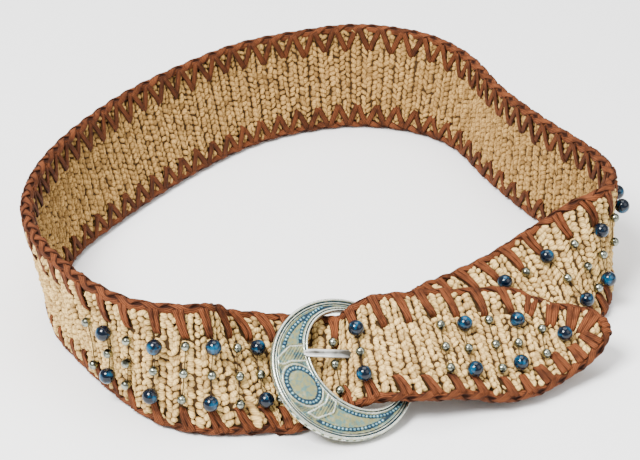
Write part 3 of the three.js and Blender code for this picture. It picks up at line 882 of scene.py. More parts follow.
@dataclass
class CrochetBand:
    """The crocheted strap: a thin core with every stitch laid on both faces."""

    course: Course
    palette: Palette
    uneven: Unevenness = Unevenness()
    across: int = 18
    row_inset: float = 4.2
    leg_length: float = 4.85
    leg_width: float = 3.25
    leg_height: float = 1.5
    leg_slant: float = 38.0
    leg_offset: float = RIB * 0.215
    usual_pitch: float = 3.0
    floor_height: float = 0.8
    swell: float = 0.7
    core_cover: float = 0.25
    tip_length: float = 8.0
    parts: int = 3

    def _bed(self, along: Array) -> Array:
        """Returns the height of the bed under the stitches: low between two ribs."""
        return self.floor_height + self.swell * (0.5 - 0.5 * np.cos(2 * math.pi * along / RIB))

    def core(self) -> None:
        """Makes the strap's core, dark as painted shade in the gaps between the stitches."""
        end = self.course.length - INSET
        along = np.concatenate([np.arange(0, end - self.tip_length - 1, RIB / 4),
                                end - self.tip_length * np.linspace(1, 0, 12) ** 2])
        upper, lower = (self.course.inside(along, side, INSET) for side in Side)
        high = self._bed(along) + self.core_cover
        share = np.array([1, 1, 0.5, 0, -0.5, -1, -1, -1, -0.5, 0, 0.5, 1])
        level = np.array([0, 1, 1, 1, 1, 1, 0, -1, -1, -1, -1, -1], float)
        across = np.where(share[None] > 0, share[None] * upper[:, None], share[None] * lower[:, None])
        points = self.course.points(along[:, None], across, level[None] * high[:, None])
        uv = np.stack(np.broadcast_arrays(along[:, None], across), -1)
        shell = Shell()
        shell.add(points, tube_quads(len(along), len(share)), uv, 0.4)
        finish_piece(shell.build("band_core", self.palette.yarn_core), "crochet", "band")

    def _stitches(self, face: Face, start: float, end: float, rng: np.random.Generator,
                  puff: "LaceStitches") -> Shell:
        """Lays the legs of the stitches on part of a face.

        Args:
            face: which face.
            start: where the part starts along the strap.
            end: where it ends.
            rng: the source of small differences.
            puff: the lace stitches, between which the crochet swells.

        Returns:
            The stitches of that part.
        """
        uneven = self.uneven
        ribs = np.arange(math.ceil(start / RIB), math.ceil(end / RIB))
        rib, row, leg = (v.ravel() for v in np.meshgrid(ribs, np.arange(self.across), (-1, 1), indexing="ij"))
        middle = (rib + 0.5) * RIB
        full = self.course.frames(middle).half - self.row_inset
        pitch = 2 * full / self.across
        shift = rng.uniform(0, 1, len(ribs))[rib - ribs[0]]
        place = (row + 0.25 + 0.5 * shift) / self.across * 2 - 1
        across = place * full + rng.normal(0, uneven.across, rib.size) + leg * 0.25 * pitch
        along = middle + leg * self.leg_offset
        upper, lower = (self.course.inside(along, side, INSET) for side in Side)
        keep = (across < upper) & (across > -lower) & (along < self.course.length - INSET)
        rib, leg, along, across, pitch = (v[keep] for v in (rib, leg, along, across, pitch))
        count = rib.size
        way = np.where(rng.uniform(0, 1, len(ribs)) > 0.5, 1, -1)[rib - ribs[0]]
        along = along + rng.normal(0, uneven.along, count)
        slant = np.radians(self.leg_slant + rng.normal(0, uneven.slant, count)) * leg * way
        length = self.leg_length * (pitch / self.usual_pitch) ** 0.5
        length *= 1 + rng.normal(0, uneven.size, count)
        width = self.leg_width * (1 + rng.normal(0, uneven.size, count))
        sunk = rng.uniform(0, 1, count) < uneven.sunk
        height = self.leg_height * (1 + rng.normal(0, uneven.height, count))
        height *= np.where(sunk, uneven.sunk_height, 1.0)
        lift = rng.normal(0, uneven.lift, count)
        # Each leg's own tone at random; sunk legs are darkened further as painted shade in the pits they
        # leave
        own = np.clip(rng.normal(0.86, uneven.shade, count), 0.3, 1.2)
        own *= np.where(sunk, uneven.sunk_shade, 1.0)

        # Every leg is the same plump arch of 7 rows of 5 points, set by its own measures
        t = np.array([0, 0.1, 0.28, 0.5, 0.72, 0.9, 1])
        turn = np.radians(np.array([-95, -50, 0, 50, 95]))
        plump = np.sin(np.pi * t) ** 0.5
        plump[[0, -1]] = 0.12
        # Painted shade: each leg is darkest along its sides and at its ends, as in the creases between legs
        shade = np.array([0.0, 0.6, 1.0, 0.6, 0.0]) * np.array([0, 0.5, 1, 1, 1, 0.5, 0])[:, None]
        measures = (along, across, length, width, height, lift, np.cos(slant), np.sin(slant))
        along, across, length, width, height, lift, cos, sin = (v[:, None, None] for v in measures)
        lengthwise = (t - 0.5)[:, None] * length + np.zeros(len(turn))
        sidewise = plump[:, None] * np.sin(turn) * 0.5 * width
        along = along + lengthwise * sin + sidewise * cos
        across = across + lengthwise * cos - sidewise * sin
        high = plump[:, None] * np.cos(turn) * height + lift
        out = self._bed(along) + high + puff.swelling(along, across, face)
        quads = tube_quads(len(t), len(turn), closed=False, turned=face is Face.INNER)
        quads = quads + np.arange(count)[:, None, None] * shade.size
        shell = Shell()
        shell.add(self.course.points(along, across, out * face.value), quads,
                  np.stack([lengthwise, sidewise], -1), (own[:, None] * shade.ravel()).ravel())
        return shell

    def build(self, stitches: "LaceStitches") -> None:
        """Makes the core and the stitches of both faces.

        Args:
            stitches: the lace stitches, between which the crochet swells.
        """
        self.core()
        rng = np.random.default_rng(SEED)
        bounds = np.linspace(0, self.course.length - 3, self.parts + 1)
        for face, material in ((Face.OUTER, self.palette.yarn_outer), (Face.INNER, self.palette.yarn_inner)):
            for part in range(self.parts):
                shell = self._stitches(face, bounds[part], bounds[part + 1], rng, stitches)
                name = f"crochet_{face.name.lower()}_{part + 1}"
                finish_piece(shell.build(name, material), "crochet")


@dataclass
class LaceStitches:
    """The suede lacing: a braid over each edge, bars outside and zigzags inside.

    A dive is how deep a strand's end goes and the share of its length where that starts. Between two
    bars the crochet swells, under them it is pressed in, and along the edge it has a thinner hem.
    """

    course: Course
    palette: Palette
    pitch: float = 13.6
    strand: float = 4.0
    thick: float = 1.2
    wrap: float = 104.0
    bar_depth: dict[Side, float] = field(default_factory=lambda: {Side.UPPER: 17.5, Side.LOWER: 14.0})
    bar_start: float = 2.6
    bar_height: float = 2.75
    bar_dive: tuple[float, float] = (1.9, 0.86)
    zigzag_depth: dict[Side, float] = field(default_factory=lambda: {Side.UPPER: 17.0, Side.LOWER: 15.0})
    zigzag_start: float = 3.0
    zigzag_height: float = 2.6
    zigzag_dive: tuple[float, float] = (1.5, 0.88)
    tip_zone: float = 44.0
    tip_depth: float = 11.8
    slant: float = 3.2
    swell: float = 1.5
    swell_inward: float = 7.5
    swell_reach: float = 5.0
    press: float = 1.5
    press_reach: float = 2.3
    hem: float = 0.9
    hem_reach: float = 3.0

    def __post_init__(self) -> None:
        """Finds where the bars stand."""
        self.bars = {side: self._bar_places(side) for side in Side}

    def _bar_places(self, side: Side) -> Array:
        """Works out where an edge's bars stand: at each bead column, and evenly between them.

        Args:
            side: which edge.

        Returns:
            Their places along the strap.
        """
        key = "u" if side is Side.UPPER else "l"
        row = BEAD_ROWS[key][1]
        marks = [along - row * slant / ROW_SPAN for along, slant, *_, rows in BEAD_COLUMNS if key in rows]
        marks = sorted(m for m in marks if m < self.course.length - self.tip_zone)
        places = [marks[0]]
        while places[0] - self.pitch > 4:
            places.insert(0, places[0] - self.pitch)
        for mark in marks[1:]:
            steps = max(round((mark - places[-1]) / self.pitch), 1)
            places.extend(np.linspace(places[-1], mark, steps + 1)[1:])
        while places[-1] + self.pitch < self.course.length - self.tip_zone:
            places.append(places[-1] + self.pitch)
        return np.array(places)

    def swelling(self, along: Array, across: Array, face: Face) -> Array:
        """Works out how the crochet swells between the bars and is pressed in under them.

        Args:
            along: lengths along the strap.
            across: distances from its middle.
            face: which face.

        Returns:
            How far the face stands out at each place.
        """
        total = np.zeros_like(along)
        if face is Face.INNER:
            return total
        half = self.course.frames(along).half
        for side, places in self.bars.items():
            inward = half - side.value * across
            reach = np.clip(inward / self.bar_depth[side], 0, 1)
            level = along + side.value * self.slant * (1 - reach)
            marks = [places[0] - self.pitch / 2, *places, places[-1] + self.pitch / 2]
            phase = np.interp(level, marks, [0.5, *range(1, len(places) + 1), len(places) + 0.5])
            beside = np.abs(phase - np.round(phase)) * self.pitch
            near = np.exp(-((inward - self.swell_inward) / self.swell_reach) ** 2)
            puff = self.swell * near * np.sin(np.pi * (phase % 1)) ** 0.7
            pressed = np.exp(-(beside / self.press_reach) ** 2) * (inward < self.bar_depth[side] + 1.0)
            hem = np.clip((LACING - inward) / self.hem_reach, 0, 1)
            total += puff * (1 - pressed) - self.press * pressed - self.hem * hem
        return total

    def braid(self, side: Side) -> None:
        """Makes the braid over one edge.

        Args:
            side: which edge.
        """
        flat = self.course.edge(side, LACING / 2)
        run = walked(self.course.points(flat[:, 0], flat[:, 1], 0))
        step, core, strands = 1.25, 4.0, 3
        places = np.arange(0, run[-1], step)
        line = read_at(flat, run, places)
        strap = self.course.frames(line[:, 0])
        middle = self.course.points(line[:, 0], line[:, 1], 0)
        away = unit(strap.forward * line[:, 2:3] + strap.across * line[:, 3:4])
        shell = Shell()
        # The braid's core sits at tint 0, the suede's dark colour: painted shade in the gaps between the
        # strands
        sweep(shell, middle, strap.outward, core, core, ROUND, 0.0)
        for k in range(strands):
            beat = 2 * math.pi * (places / (strands * self.pitch) + k / strands)
            turn = np.radians(self.wrap) * np.sin(beat)
            reach = LACING / 2 - self.thick - 0.35 + 0.6 * np.sin(2 * beat)
            way = away * np.cos(turn)[:, None] + strap.outward * np.sin(turn)[:, None]
            sweep(shell, middle + way * reach[:, None], way, self.strand, self.thick, STRAND, 0.6 + 0.15 * k)
        name = side.name.lower()
        finish_piece(shell.build(f"{name}_braid", self.palette.lace_outer), "lacing", f"{name}_lacing")

    @staticmethod
    def _arch(t: Array, height: float, hump: float, dive: tuple[float, float]) -> Array:
        """Works out how high a strand lies that ends in a hole of the crochet.

        Args:
            t: places from its edge to its hole, from 0 to 1.
            height: how high its middle line starts.
            hump: how much it rises half way.
            dive: how deep it dives at its end, and the place where the dive starts.

        Returns:
            Its height at each place.
        """
        deep, start = dive
        return height + hump * np.sin(np.pi * t) - deep * np.clip((t - start) / (1 - start), 0, 1) ** 2

    def _strand_in_strap(self, shell: Shell, along: Array, across: Array, out: Array, face: Face,
                         width: float | Array, tint: float) -> None:
        """Adds a lace strand that lies on a face of the strap.

        Args:
            shell: the piece it belongs to.
            along: its points along the strap.
            across: its points across the strap.
            out: how high each point lies off the strap's middle.
            face: the face it lies on.
            width: its width.
            tint: its place between the finish's two colours.
        """
        path = self.course.points(along, across, out * face.value)
        normal = self.course.frames(along).outward * face.value
        sweep(shell, path, normal, width, self.thick, STRAND, tint)

    def outer_bars(self, side: Side, rng: np.random.Generator) -> None:
        """Makes the double bars that reach from an edge into the outer face.

        Args:
            side: which edge.
            rng: the source of small differences.
        """
        shell = Shell()
        t = np.linspace(0, 1, 12)
        for place in self.bars[side]:
            half = float(self.course.half_width(place, side))
            depth = self.bar_depth[side] + rng.normal(0, 0.7)
            slant, bow = self.slant + rng.normal(0, 0.5), rng.normal(0, 0.6)
            for lane in (-1, 1):
                along = (place - side.value * slant * (1 - t) + lane * (1.35 - 0.6 * t)
                         + bow * np.sin(np.pi * t))
                across = side.value * (half - self.bar_start - (depth - self.bar_start) * t)
                out = self._arch(t, self.bar_height, 0.35, self.bar_dive)
                self._strand_in_strap(shell, along, across, out, Face.OUTER, 3.2 - t, rng.uniform(0.5, 1.0))
        self._tip_bars(shell, rng, side)
        if side is Side.UPPER:
            self._tip_wrap(shell)
        finish_piece(shell.build(f"{side.name.lower()}_bars", self.palette.lace_outer), "lacing")

    def _tip_wrap(self, shell: Shell) -> None:
        """Adds the lace strands that wrap the tail's tip where the two braids meet.

        Args:
            shell: the piece they belong to.
        """
        turn = np.radians(np.linspace(-115, 115, 15))
        for lane, tint in ((-2.6, 0.75), (0.6, 0.95), (3.6, 0.65)):
            bend = self.course.length - 3.3 - 0.16 * abs(lane)
            path = self.course.points(bend + 2.9 * np.cos(turn), lane, 2.9 * np.sin(turn))
            centre = self.course.points(bend, lane, 0.0)
            sweep(shell, path, path - centre, 3.5, self.thick, STRAND, tint)

    def _tip_bars(self, shell: Shell, rng: np.random.Generator, side: Side) -> None:
        """Adds the bars that fan out round the tail's tip.

        Args:
            shell: the piece they belong to.
            rng: the source of small differences.
            side: the edge they stand on.
        """
        flat = self.course.edge(side, LACING / 2)
        run = walked(flat[:, :2])
        start = float(np.interp(self.bars[side][-1] + self.pitch, flat[:, 0], run))
        t = np.linspace(0, 1, 10)
        for place in np.arange(start, run[-1] - 2, self.pitch * 0.84):
            edge = read_at(flat, run, place)
            normal = unit(edge[2:])
            depth, rise = self.tip_depth + rng.normal(0, 0.7), rng.uniform(0, 0.3)
            for lane in (-1, 1):
                shift = lane * (1.9 - 0.7 * t)
                along = edge[0] - normal[0] * depth * t - normal[1] * shift
                across = edge[1] - normal[1] * depth * t + normal[0] * shift
                out = self._arch(t, self.bar_height + rise, 0.3, self.bar_dive)
                self._strand_in_strap(shell, along, across, out, Face.OUTER, 4.0 - t, rng.uniform(0.5, 1.0))

    def inner_zigzag(self, side: Side, rng: np.random.Generator) -> None:
        """Makes the zigzag that joins an edge to its holes on the inner face.

        Args:
            side: which edge.
            rng: the source of small differences.
        """
        shell = Shell()
        places = self.bars[side]
        t = np.linspace(0, 1, 9)
        for here, after in zip(places[:-1], places[1:]):
            middle = (here + after) / 2
            for start, end in ((here, middle), (after, middle)):
                half = float(self.course.half_width(start, side))
                hole = self.zigzag_depth[side] + rng.normal(0, 0.6)
                along = start + (end - start) * (1 - t) * 0.92
                across = side.value * (half - self.zigzag_start - (hole - self.zigzag_start) * t)
                rise = 0.5 if start == here else 0.0
                out = self._arch(t, self.zigzag_height + rise, 0.25, self.zigzag_dive)
                self._strand_in_strap(shell, along, across, out, Face.INNER, 3.6, rng.uniform(0.5, 1.0))
        finish_piece(shell.build(f"{side.name.lower()}_zigzag", self.palette.lace_inner), "lacing")

    def build(self) -> None:
        """Makes the braids, bars and zigzags of both edges."""
        rng = np.random.default_rng(SEED + 1)
        for side in Side:
            self.braid(side)
            self.outer_bars(side, rng)
            self.inner_zigzag(side, rng)


@dataclass
class BeadWork:
    """The beads on the outer face and the threads that carry them."""

    course: Course
    palette: Palette
    big: float = 8.0
    small: float = 4.8
    gap: float = 0.35
    thread: float = 0.5
    sag: float = 1.4
    sides: int = 24

    def _face_height(self, along: float) -> float:
        """Returns the height of the strap's ribbed face, as in the solid."""
        return (THICKNESS - GROOVE * abs(1 - 2 * (along / RIB % 1))) / 2

    def _place(self, column: BeadColumn, row: float, diameter: float) -> tuple[float, float, float]:
        """Works out where a bead stands.

        Args:
            column: its column.
            row: its row's distance from the strap's middle.
            diameter: its size.

        Returns:
            Its along, across and out.
        """
        along = column.along - row * column.slant / ROW_SPAN
        out = self._face_height(along) + diameter / 2 + self.gap + column.proud
        return along, row * column.spread + column.rise, out

    def _bead(self, shell: Shell, place: tuple[float, float, float], diameter: float,
              tints: tuple[float, float], hole: float = 0.15) -> None:
        """Adds one drilled round bead.

        Args:
            shell: the piece it belongs to.
            place: its along, across and out.
            diameter: its size.
            tints: the tint at its middle and at its drilled ends.
            hole: the drilling's share of its size.
        """
        strap = self.course.frames(place[0])
        edge = math.acos(math.sqrt(1 - hole**2))
        angle = np.linspace(edge, math.pi - edge, 15)
        radial, height = np.sin(angle), np.cos(angle)
        radial = np.concatenate([radial, radial[-1:] * 0.98, radial[:1] * 0.98])
        height = np.concatenate([height, height[-1:] * 0.8, height[:1] * 0.8])
        tint = np.interp(np.abs(height), (0.55, 0.95), tints)
        corner = np.arange(self.sides)
        around = corner * 2 * math.pi / self.sides
        circle = strap.forward * np.cos(around)[:, None] + strap.outward * np.sin(around)[:, None]
        ring = strap.across * height[:, None, None] + radial[:, None, None] * circle
        quads = tube_quads(len(radial), self.sides, turned=True)
        last, after = (len(radial) - 1) * self.sides, (corner + 1) % self.sides
        close = np.stack([corner, after, after + last, corner + last], 1)
        shell.add(self.course.points(*place) + ring * diameter / 2, np.concatenate([quads, close]), None,
                  np.repeat(tint, self.sides))

    def _metal(self, shell: Shell, node: str) -> None:
        """Finishes metal beads that stand for a CAD node."""
        finish_piece(shell.build(f"round_{node}", self.palette.bead_metal), "bead_metal", node)

    def build(self) -> None:
        """Makes every bead and thread."""
        threads = Shell()
        t = np.linspace(0, 1, 14)
        for number, row in enumerate(BEAD_COLUMNS, 1):
            column = BeadColumn(*row)
            spots = []
            small = Shell()
            for key in column.rows:
                name, height = BEAD_ROWS[key]
                glass = column.big and key != "m"
                diameter = self.big if glass else self.small
                spots.append(self._place(column, height, diameter))
                if glass:
                    shell = Shell()
                    # Glass beads: painted glow in the middle, none at the deep drilled ends
                    self._bead(shell, spots[-1], diameter, (1.0, 0.0))
                    node = f"glass_bead_{number:02d}_{name}"
                    finish_piece(shell.build(f"round_{node}", self.palette.glass), "blue_glass", node)
                else:
                    # Metal beads: their drilled ends are darker as painted dark reflection
                    self._bead(small, spots[-1], diameter, (0.8, 0.1), 0.25)
                    if column.big:
                        self._metal(small, f"metal_bead_{number:02d}")
            if not column.big:
                self._metal(small, f"metal_beads_{number:02d}")
            for upper, lower in zip(spots[:-1], spots[1:]):
                along, across, out = (start + (end - start) * t for start, end in zip(upper, lower))
                path = self.course.points(along, across, out - self.sag * np.sin(np.pi * t) ** 0.4)
                normal = self.course.frames(along).outward
                sweep(threads, path, normal, self.thread, self.thread, ROUND, 0.3)
        finish_piece(threads.build("bead_threads", self.palette.thread), "crochet")


@dataclass
class Buckle:
    """The cast ring buckle with its relief, its prong and the tab that holds it.

    The hole has its two half widths and its offset, the medallion its middle, its half widths and its
    turn, and the hinge its distance and direction from the centre.
    """

    palette: Palette
    centre: tuple[float, float, float] = (11.3, 24.3, 25.5)
    facing: float = 32.3
    tilt: float = 52.6
    turn: float = 15.0
    radius: float = 37.0
    face: float = 1.75
    plate: float = 0.65
    hole: tuple[float, float, float] = (22.0, 27.25, 8.0)
    medallion: tuple[float, float, float, float, float] = (-23.9, -1.2, 11.3, 8.4, 106.0)
    outer_beads: float = 5.35
    inner_beads: float = 3.85
    hinge: tuple[float, float] = (33.4, -8.0)
    prong_tip: tuple[float, float] = (-15.4, 13.0)
    tab_end: float = 46.5
    tab_bend: float = 25.2
    tab_half: float = 3.2
    around: int = 560
    rows: int = 80

    def __post_init__(self) -> None:
        """Works out the buckle's axes."""
        facing, tilt = math.radians(self.facing), math.radians(self.tilt)
        self._u = np.array([math.cos(facing), math.sin(facing), 0])
        self._v = np.array([-self._u[1] * math.sin(tilt), self._u[0] * math.sin(tilt), math.cos(tilt)])
        self._n = np.cross(self._u, self._v)
        self._origin = np.array(self.centre) - np.array([*PLAN_CENTRE, 0])
        own = math.radians(self.turn)
        self._thin = np.array([math.cos(own), math.sin(own)])
        self._cross = np.array([-self._thin[1], self._thin[0]])

    def _points(self, x: Array, y: Array, z: Array) -> Array:
        """Returns points of the buckle's own space in the row frame."""
        x, y, z = np.broadcast_arrays(*(np.asarray(v, float) for v in (x, y, z)))
        return self._origin + x[..., None] * self._u + y[..., None] * self._v + z[..., None] * self._n

    def _plane(self, along: Array, beside: Array) -> tuple[Array, Array]:
        """Returns x and y of a point given along the thin side's direction and across it."""
        thin, cross = self._thin, self._cross
        return along * thin[0] + beside * cross[0], along * thin[1] + beside * cross[1]

    def _hole_edge(self, angle: Array, grow: float | Array = 0.0) -> tuple[Array, Array]:
        """Returns the hole's outline, grown by a distance, along the thin side and across it."""
        short, long, offset = self.hole
        return offset + (short + grow) * np.cos(angle), (long + grow) * np.sin(angle)

    def _gaps(self, along: Array, beside: Array) -> tuple[Array, Array]:
        """Measures how far points of the face lie from its rims.

        Args:
            along: distance from the centre towards the thin side.
            beside: distance from the centre across it.

        Returns:
            The distances from the outer rim and from the hole's rim.
        """
        short, long, offset = self.hole
        scale = np.hypot((along - offset) / short, beside / long)
        inner = (scale - 1) * np.hypot(along - offset, beside) / np.maximum(scale, 1e-6)
        return self.radius - np.hypot(along, beside), inner

    def _oval(self, u: Array, v: Array) -> Array:
        """Measures how far out points lie on the medallion.

        Args:
            u: first coordinates of the points.
            v: second coordinates.

        Returns:
            The share of the way from its middle, with its edge at 1.
        """
        middle_u, middle_v, long, short, turn = self.medallion
        cos, sin = math.cos(math.radians(turn)), math.sin(math.radians(turn))
        du, dv = u - middle_u, v - middle_v
        return np.hypot((du * cos + dv * sin) / long, (dv * cos - du * sin) / short)

    def _relief(self, along: Array, beside: Array) -> tuple[Array, Array]:
        """Works out the relief of the face.

        Args:
            along: distance from the centre towards the thin side.
            beside: distance from the centre across it.

        Returns:
            The height over the plate and the tint: 0 tarnished, 0.5 field, 1 worn bright.
        """
        u, v = self._plane(along, beside)
        outer, inner = self._gaps(along, beside)
        oval = self._oval(u, v)
        picture = depth_inside(u, v, PICTURE)
        clear = inner > 2.6
        height, tint = np.zeros_like(along), np.full_like(along, 0.45)

        # Dark beds for the small beads of both rims
        for distance, middle, half in ((outer, self.outer_beads, 1.1), (inner, self.inner_beads, 1.0)):
            bed = (np.abs(distance - middle) < half) & (picture < 0) & clear & (outer > 2.2)
            tint = np.where(bed, 0.06, tint)

        # Hatching of the ground round the panels
        slope = 0.62
        lines_at = (v * math.cos(slope) - u * math.sin(slope)) * 2 * math.pi
        feather, hatch = (0.5 + 0.5 * np.sin(lines_at / spacing) for spacing in (1.3, 0.95))
        around = (picture > 0) & (outer > 3.8) & clear
        height, tint = np.where(around, 0.2 * hatch, height), np.where(around, 0.14 + 0.2 * hatch, tint)

        # The domed medallion with its dark bed and its bright rim
        height = np.where(oval < 1, 0.3 + 0.35 * (1 - np.minimum(oval, 1) ** 2), height)
        tint = np.where(oval < 0.72, 0.46, np.where(oval < 1.03, 0.05, tint))
        rim = ridge(oval, 1.05, 0.05) * (inner > 1.2)
        height, tint = np.maximum(height, 0.6 * rim), np.where(rim > 0.3, 0.72, tint)

        # The feathered panels and their bright outlines
        for panel in (UPPER_PANEL, LOWER_PANEL):
            depth = depth_inside(u, v, panel) * (inner > 2.4)
            within, edge = depth > 0, ridge(depth, 0.4, 0.42)
            height = np.where(within, 0.3 + 0.3 * feather, height)
            tint = np.where(within, 0.13 + 0.36 * feather, tint)
            height = np.maximum(height, 0.8 * edge)
            tint = np.where(edge > 0.3, 0.84, tint)

        # Ridges along the rims, each with its middle, half width, rise and shine
        lines = ((outer, 0.75, 0.8, 1.1, 1.0), (outer, 2.3, 0.5, 0.6, 0.85), (outer, 3.4, 0.36, 0.4, 0.66),
                 (inner, 0.7, 0.75, 1.1, 1.0), (inner, 2.05, 0.5, 0.65, 0.92))
        for distance, middle, half, rise, shine in lines:
            shape = ridge(distance, middle, half)
            height = np.maximum(height, rise * shape)
            tint = np.where(shape > 0.35, np.maximum(tint, shine * shape), tint)

        # Dark grooves between the ridges
        for distance, middle, half in ((outer, 1.65, 0.36), (outer, 2.92, 0.26), (inner, 1.47, 0.3)):
            near = np.abs(distance - middle) < half
            tint = np.where(near, 0.03, tint)
            height = np.where(near, np.minimum(height, 0.1), height)
        return height, tint

    def ring(self) -> None:
        """Makes the ring with its relief, its milled side and its plain back."""
        angle = np.linspace(0, 2 * math.pi, self.around + 1)
        offset = self.hole[2]
        inner_along, inner_beside = self._hole_edge(angle)
        size = np.hypot(inner_along - offset, inner_beside)
        way_along, way_beside = (inner_along - offset) / size, inner_beside / size
        dot = offset * way_along
        far = -dot + np.sqrt(dot**2 + self.radius**2 - offset**2)
        outer_along, outer_beside = offset + far * way_along, far * way_beside
        share = np.linspace(0, 1, self.rows)
        share = share - 0.09 * np.sin(2 * math.pi * share)
        along = outer_along[:, None] + (inner_along - outer_along)[:, None] * share
        beside = outer_beside[:, None] + (inner_beside - outer_beside)[:, None] * share
        height, tint = self._relief(along, beside)

        # Lines round the ring that close its hole, its back and its milled side, each with its place,
        # level and tint; the side's lines have a pull, a share of the ticks, a shine and a level
        back = -self.face
        rim = self._hole_edge(angle, 0.5)
        lines = [(inner_along, inner_beside, back + 0.5, 0.7), (*rim, back, 0.45)]
        tick = 0.3 * (np.sin(angle * 70) > 0.5)
        for pull, ticks, shine, level in (
                (0.5, 0.0, 0.4, back), (0.0, 0.06, 0.9, back + 0.4), (0.2, 1.0, 0.9, back + 0.75),
                (0.2, 1.0, 0.95, self.plate - 0.4), (0.0, 0.12, 0.95, self.plate - 0.15)):
            shrink = 1 - (pull + ticks * tick) / self.radius
            shade = np.clip(shine - tick * ticks * 2.6, 0, 1)
            lines.append((outer_along * shrink, outer_beside * shrink, level, shade))
        rest = np.stack([np.broadcast_arrays(*line) for line in lines], -1)
        along, beside, level, tint = (np.column_stack(pair) for pair in zip(
            (along, beside, height + self.plate, tint), rest))
        shell = Shell()
        shell.add(self._points(*self._plane(along, beside), level),
                  tube_quads(self.around + 1, along.shape[1]), np.stack([along, beside], -1), tint.ravel())
        finish_piece(shell.build("buckle_cast_ring", self.palette.silver), "antique_silver", "buckle_ring")

    def _dot(self, shell: Shell, x: float, y: float, level: float, radius: float, rise: float) -> None:
        """Adds one raised bead of the casting.

        Args:
            shell: the piece it belongs to.
            x: where it stands along the buckle's u.
            y: where it stands along v.
            level: the height of its foot.
            radius: its radius.
            rise: how high it stands.
        """
        sides, steps = 10, np.radians([0, 28, 54, 78, 89])
        around = np.arange(sides) * 2 * math.pi / sides
        wide = np.cos(steps)[:, None] * radius
        points = self._points(x + wide * np.cos(around), y + wide * np.sin(around),
                              level + (np.sin(steps) * rise)[:, None])
        shell.add(points, tube_quads(len(steps), sides, turned=True), None,
                  np.repeat(np.linspace(0.0, 1.0, len(steps)), sides))

    def _row(self, shell: Shell, along: Array, beside: Array, spacing: float, radius: float) -> None:
        """Adds a row of raised beads that touch each other.

        Args:
            shell: the piece it belongs to.
            along: a line's distances from the centre towards the thin side.
            beside: its distances across it.
            spacing: the distance between two beads.
            radius: a bead's radius.
        """
        line = np.stack([along, beside], 1)
        run = walked(line)
        places = np.arange(0, run[-1] - spacing / 2, run[-1] / round(run[-1] / spacing))
        along, beside = read_at(line, run, places).T
        u, v = self._plane(along, beside)
        outer, inner = self._gaps(along, beside)
        clear = (depth_inside(u, v, PICTURE) < -0.9) & (inner > 3.4) & (outer > 3.9)
        for x, y in zip(u[clear], v[clear]):
            self._dot(shell, x, y, self.plate - 0.1, radius, 0.75)

    def dots(self) -> None:
        """Makes the rows of small beads along both rims and round the medallion."""
        shell = Shell()
        steps = 720
        angle = np.linspace(0, 2 * math.pi, steps + 1)
        reach = self.radius - self.outer_beads
        keep = self._gaps(reach * np.cos(angle), reach * np.sin(angle))[1] > self.inner_beads + 1.7
        order = np.roll(np.arange(steps), -int(np.argmin(keep)))
        order = order[keep[order]]
        self._row(shell, reach * np.cos(angle[order]), reach * np.sin(angle[order]), 2.0, 1.02)
        self._row(shell, *self._hole_edge(angle, self.inner_beads), 1.85, 0.94)
        middle_u, middle_v, long, short, turn = self.medallion
        cos, sin = math.cos(math.radians(turn)), math.sin(math.radians(turn))
        count, share = 28, 0.865
        for around in np.arange(0, 2 * math.pi, 2 * math.pi / count):
            one, other = long * share * math.cos(around), short * share * math.sin(around)
            self._dot(shell, middle_u + one * cos - other * sin, middle_v + one * sin + other * cos,
                      self.plate + 0.3, 0.96, 0.6)
        finish_piece(shell.build("buckle_cast_beads", self.palette.patina), "antique_silver")

    def prong(self) -> None:
        """Makes the ridged prong and its eye round the ring's thin side."""
        reach, turn = self.hinge[0], math.radians(self.hinge[1])
        hinge = np.array([math.cos(turn), math.sin(turn)]) * reach
        tip = np.array(self.prong_tip)
        length = float(np.linalg.norm(tip - hinge))
        way = (tip - hinge) / length
        side = np.array([-way[1], way[0]])

        def place(x: Array | float, y: Array | float, z: Array | float) -> Array:
            """Returns points given by their places along the prong, beside it and over the face."""
            return self._points(hinge[0] + way[0] * x + side[0] * y, hinge[1] + way[1] * x + side[1] * y, z)

        def bulge(size: float, value: Array) -> Array:
            """Returns a coordinate of the eye's outline, a rounded oblong."""
            return size * np.sign(value) * np.abs(value) ** 0.55

        x = np.concatenate([np.linspace(4, length - 6, 22), length + np.linspace(-5.4, 1.5, 12)])
        top = np.interp(x, (4, 14, length - 6, length - 1, length + 1.5), (3.1, 3.3, 4.1, 4.0, 3.2))
        low = np.interp(x, (4, length - 12, length - 6, length + 1.5), (1.6, 2.0, 2.1, 2.1))
        wide = np.interp(x, (4, 10, length - 3, length, length + 1.5), (2.2, 2.2, 2.0, 1.75, 0.7))
        section = np.array([(-1, 0), (1, 0), (1, 0.4), (0.88, 0.7), (0.14, 0.9), (-0.14, 0.9), (-0.88, 0.7),
                            (-1, 0.4)])
        points = place(x[:, None], wide[:, None] * section[None, :, 0],
                       low[:, None] + (top - low)[:, None] * section[None, :, 1])
        sides = len(section)
        quads = tube_quads(len(x), sides, turned=True)
        cap = np.array([(0, 1, 2, 7), (7, 2, 3, 6), (6, 3, 4, 5)])
        far = cap[:, ::-1] + (len(x) - 1) * sides
        # Painted light on the prong: upper facets lit, underside darker, the ridge's flat top dark, and
        # shadowed away from its tip
        painted_tip_light = np.interp(x, (length - 16, length - 10), (0.35, 1.0))
        tint = (painted_tip_light[:, None] * np.array([0.3, 0.3, 0.8, 1.0, 0.0, 0.0, 1.0, 0.8])).ravel()
        shell = Shell()
        shell.add(points, np.concatenate([quads, cap, far]), None, tint)
        corner = np.linspace(0, 2 * math.pi, 41)
        path = place(bulge(5.4, np.cos(corner)), 0.0, bulge(2.75, np.sin(corner)))
        sweep(shell, path, path - place(0.0, 0.0, 0.0), 4.4, 1.2, STRAND, 0.6)
        finish_piece(shell.build("ridged_prong", self.palette.bright_silver), "antique_silver", "prong")

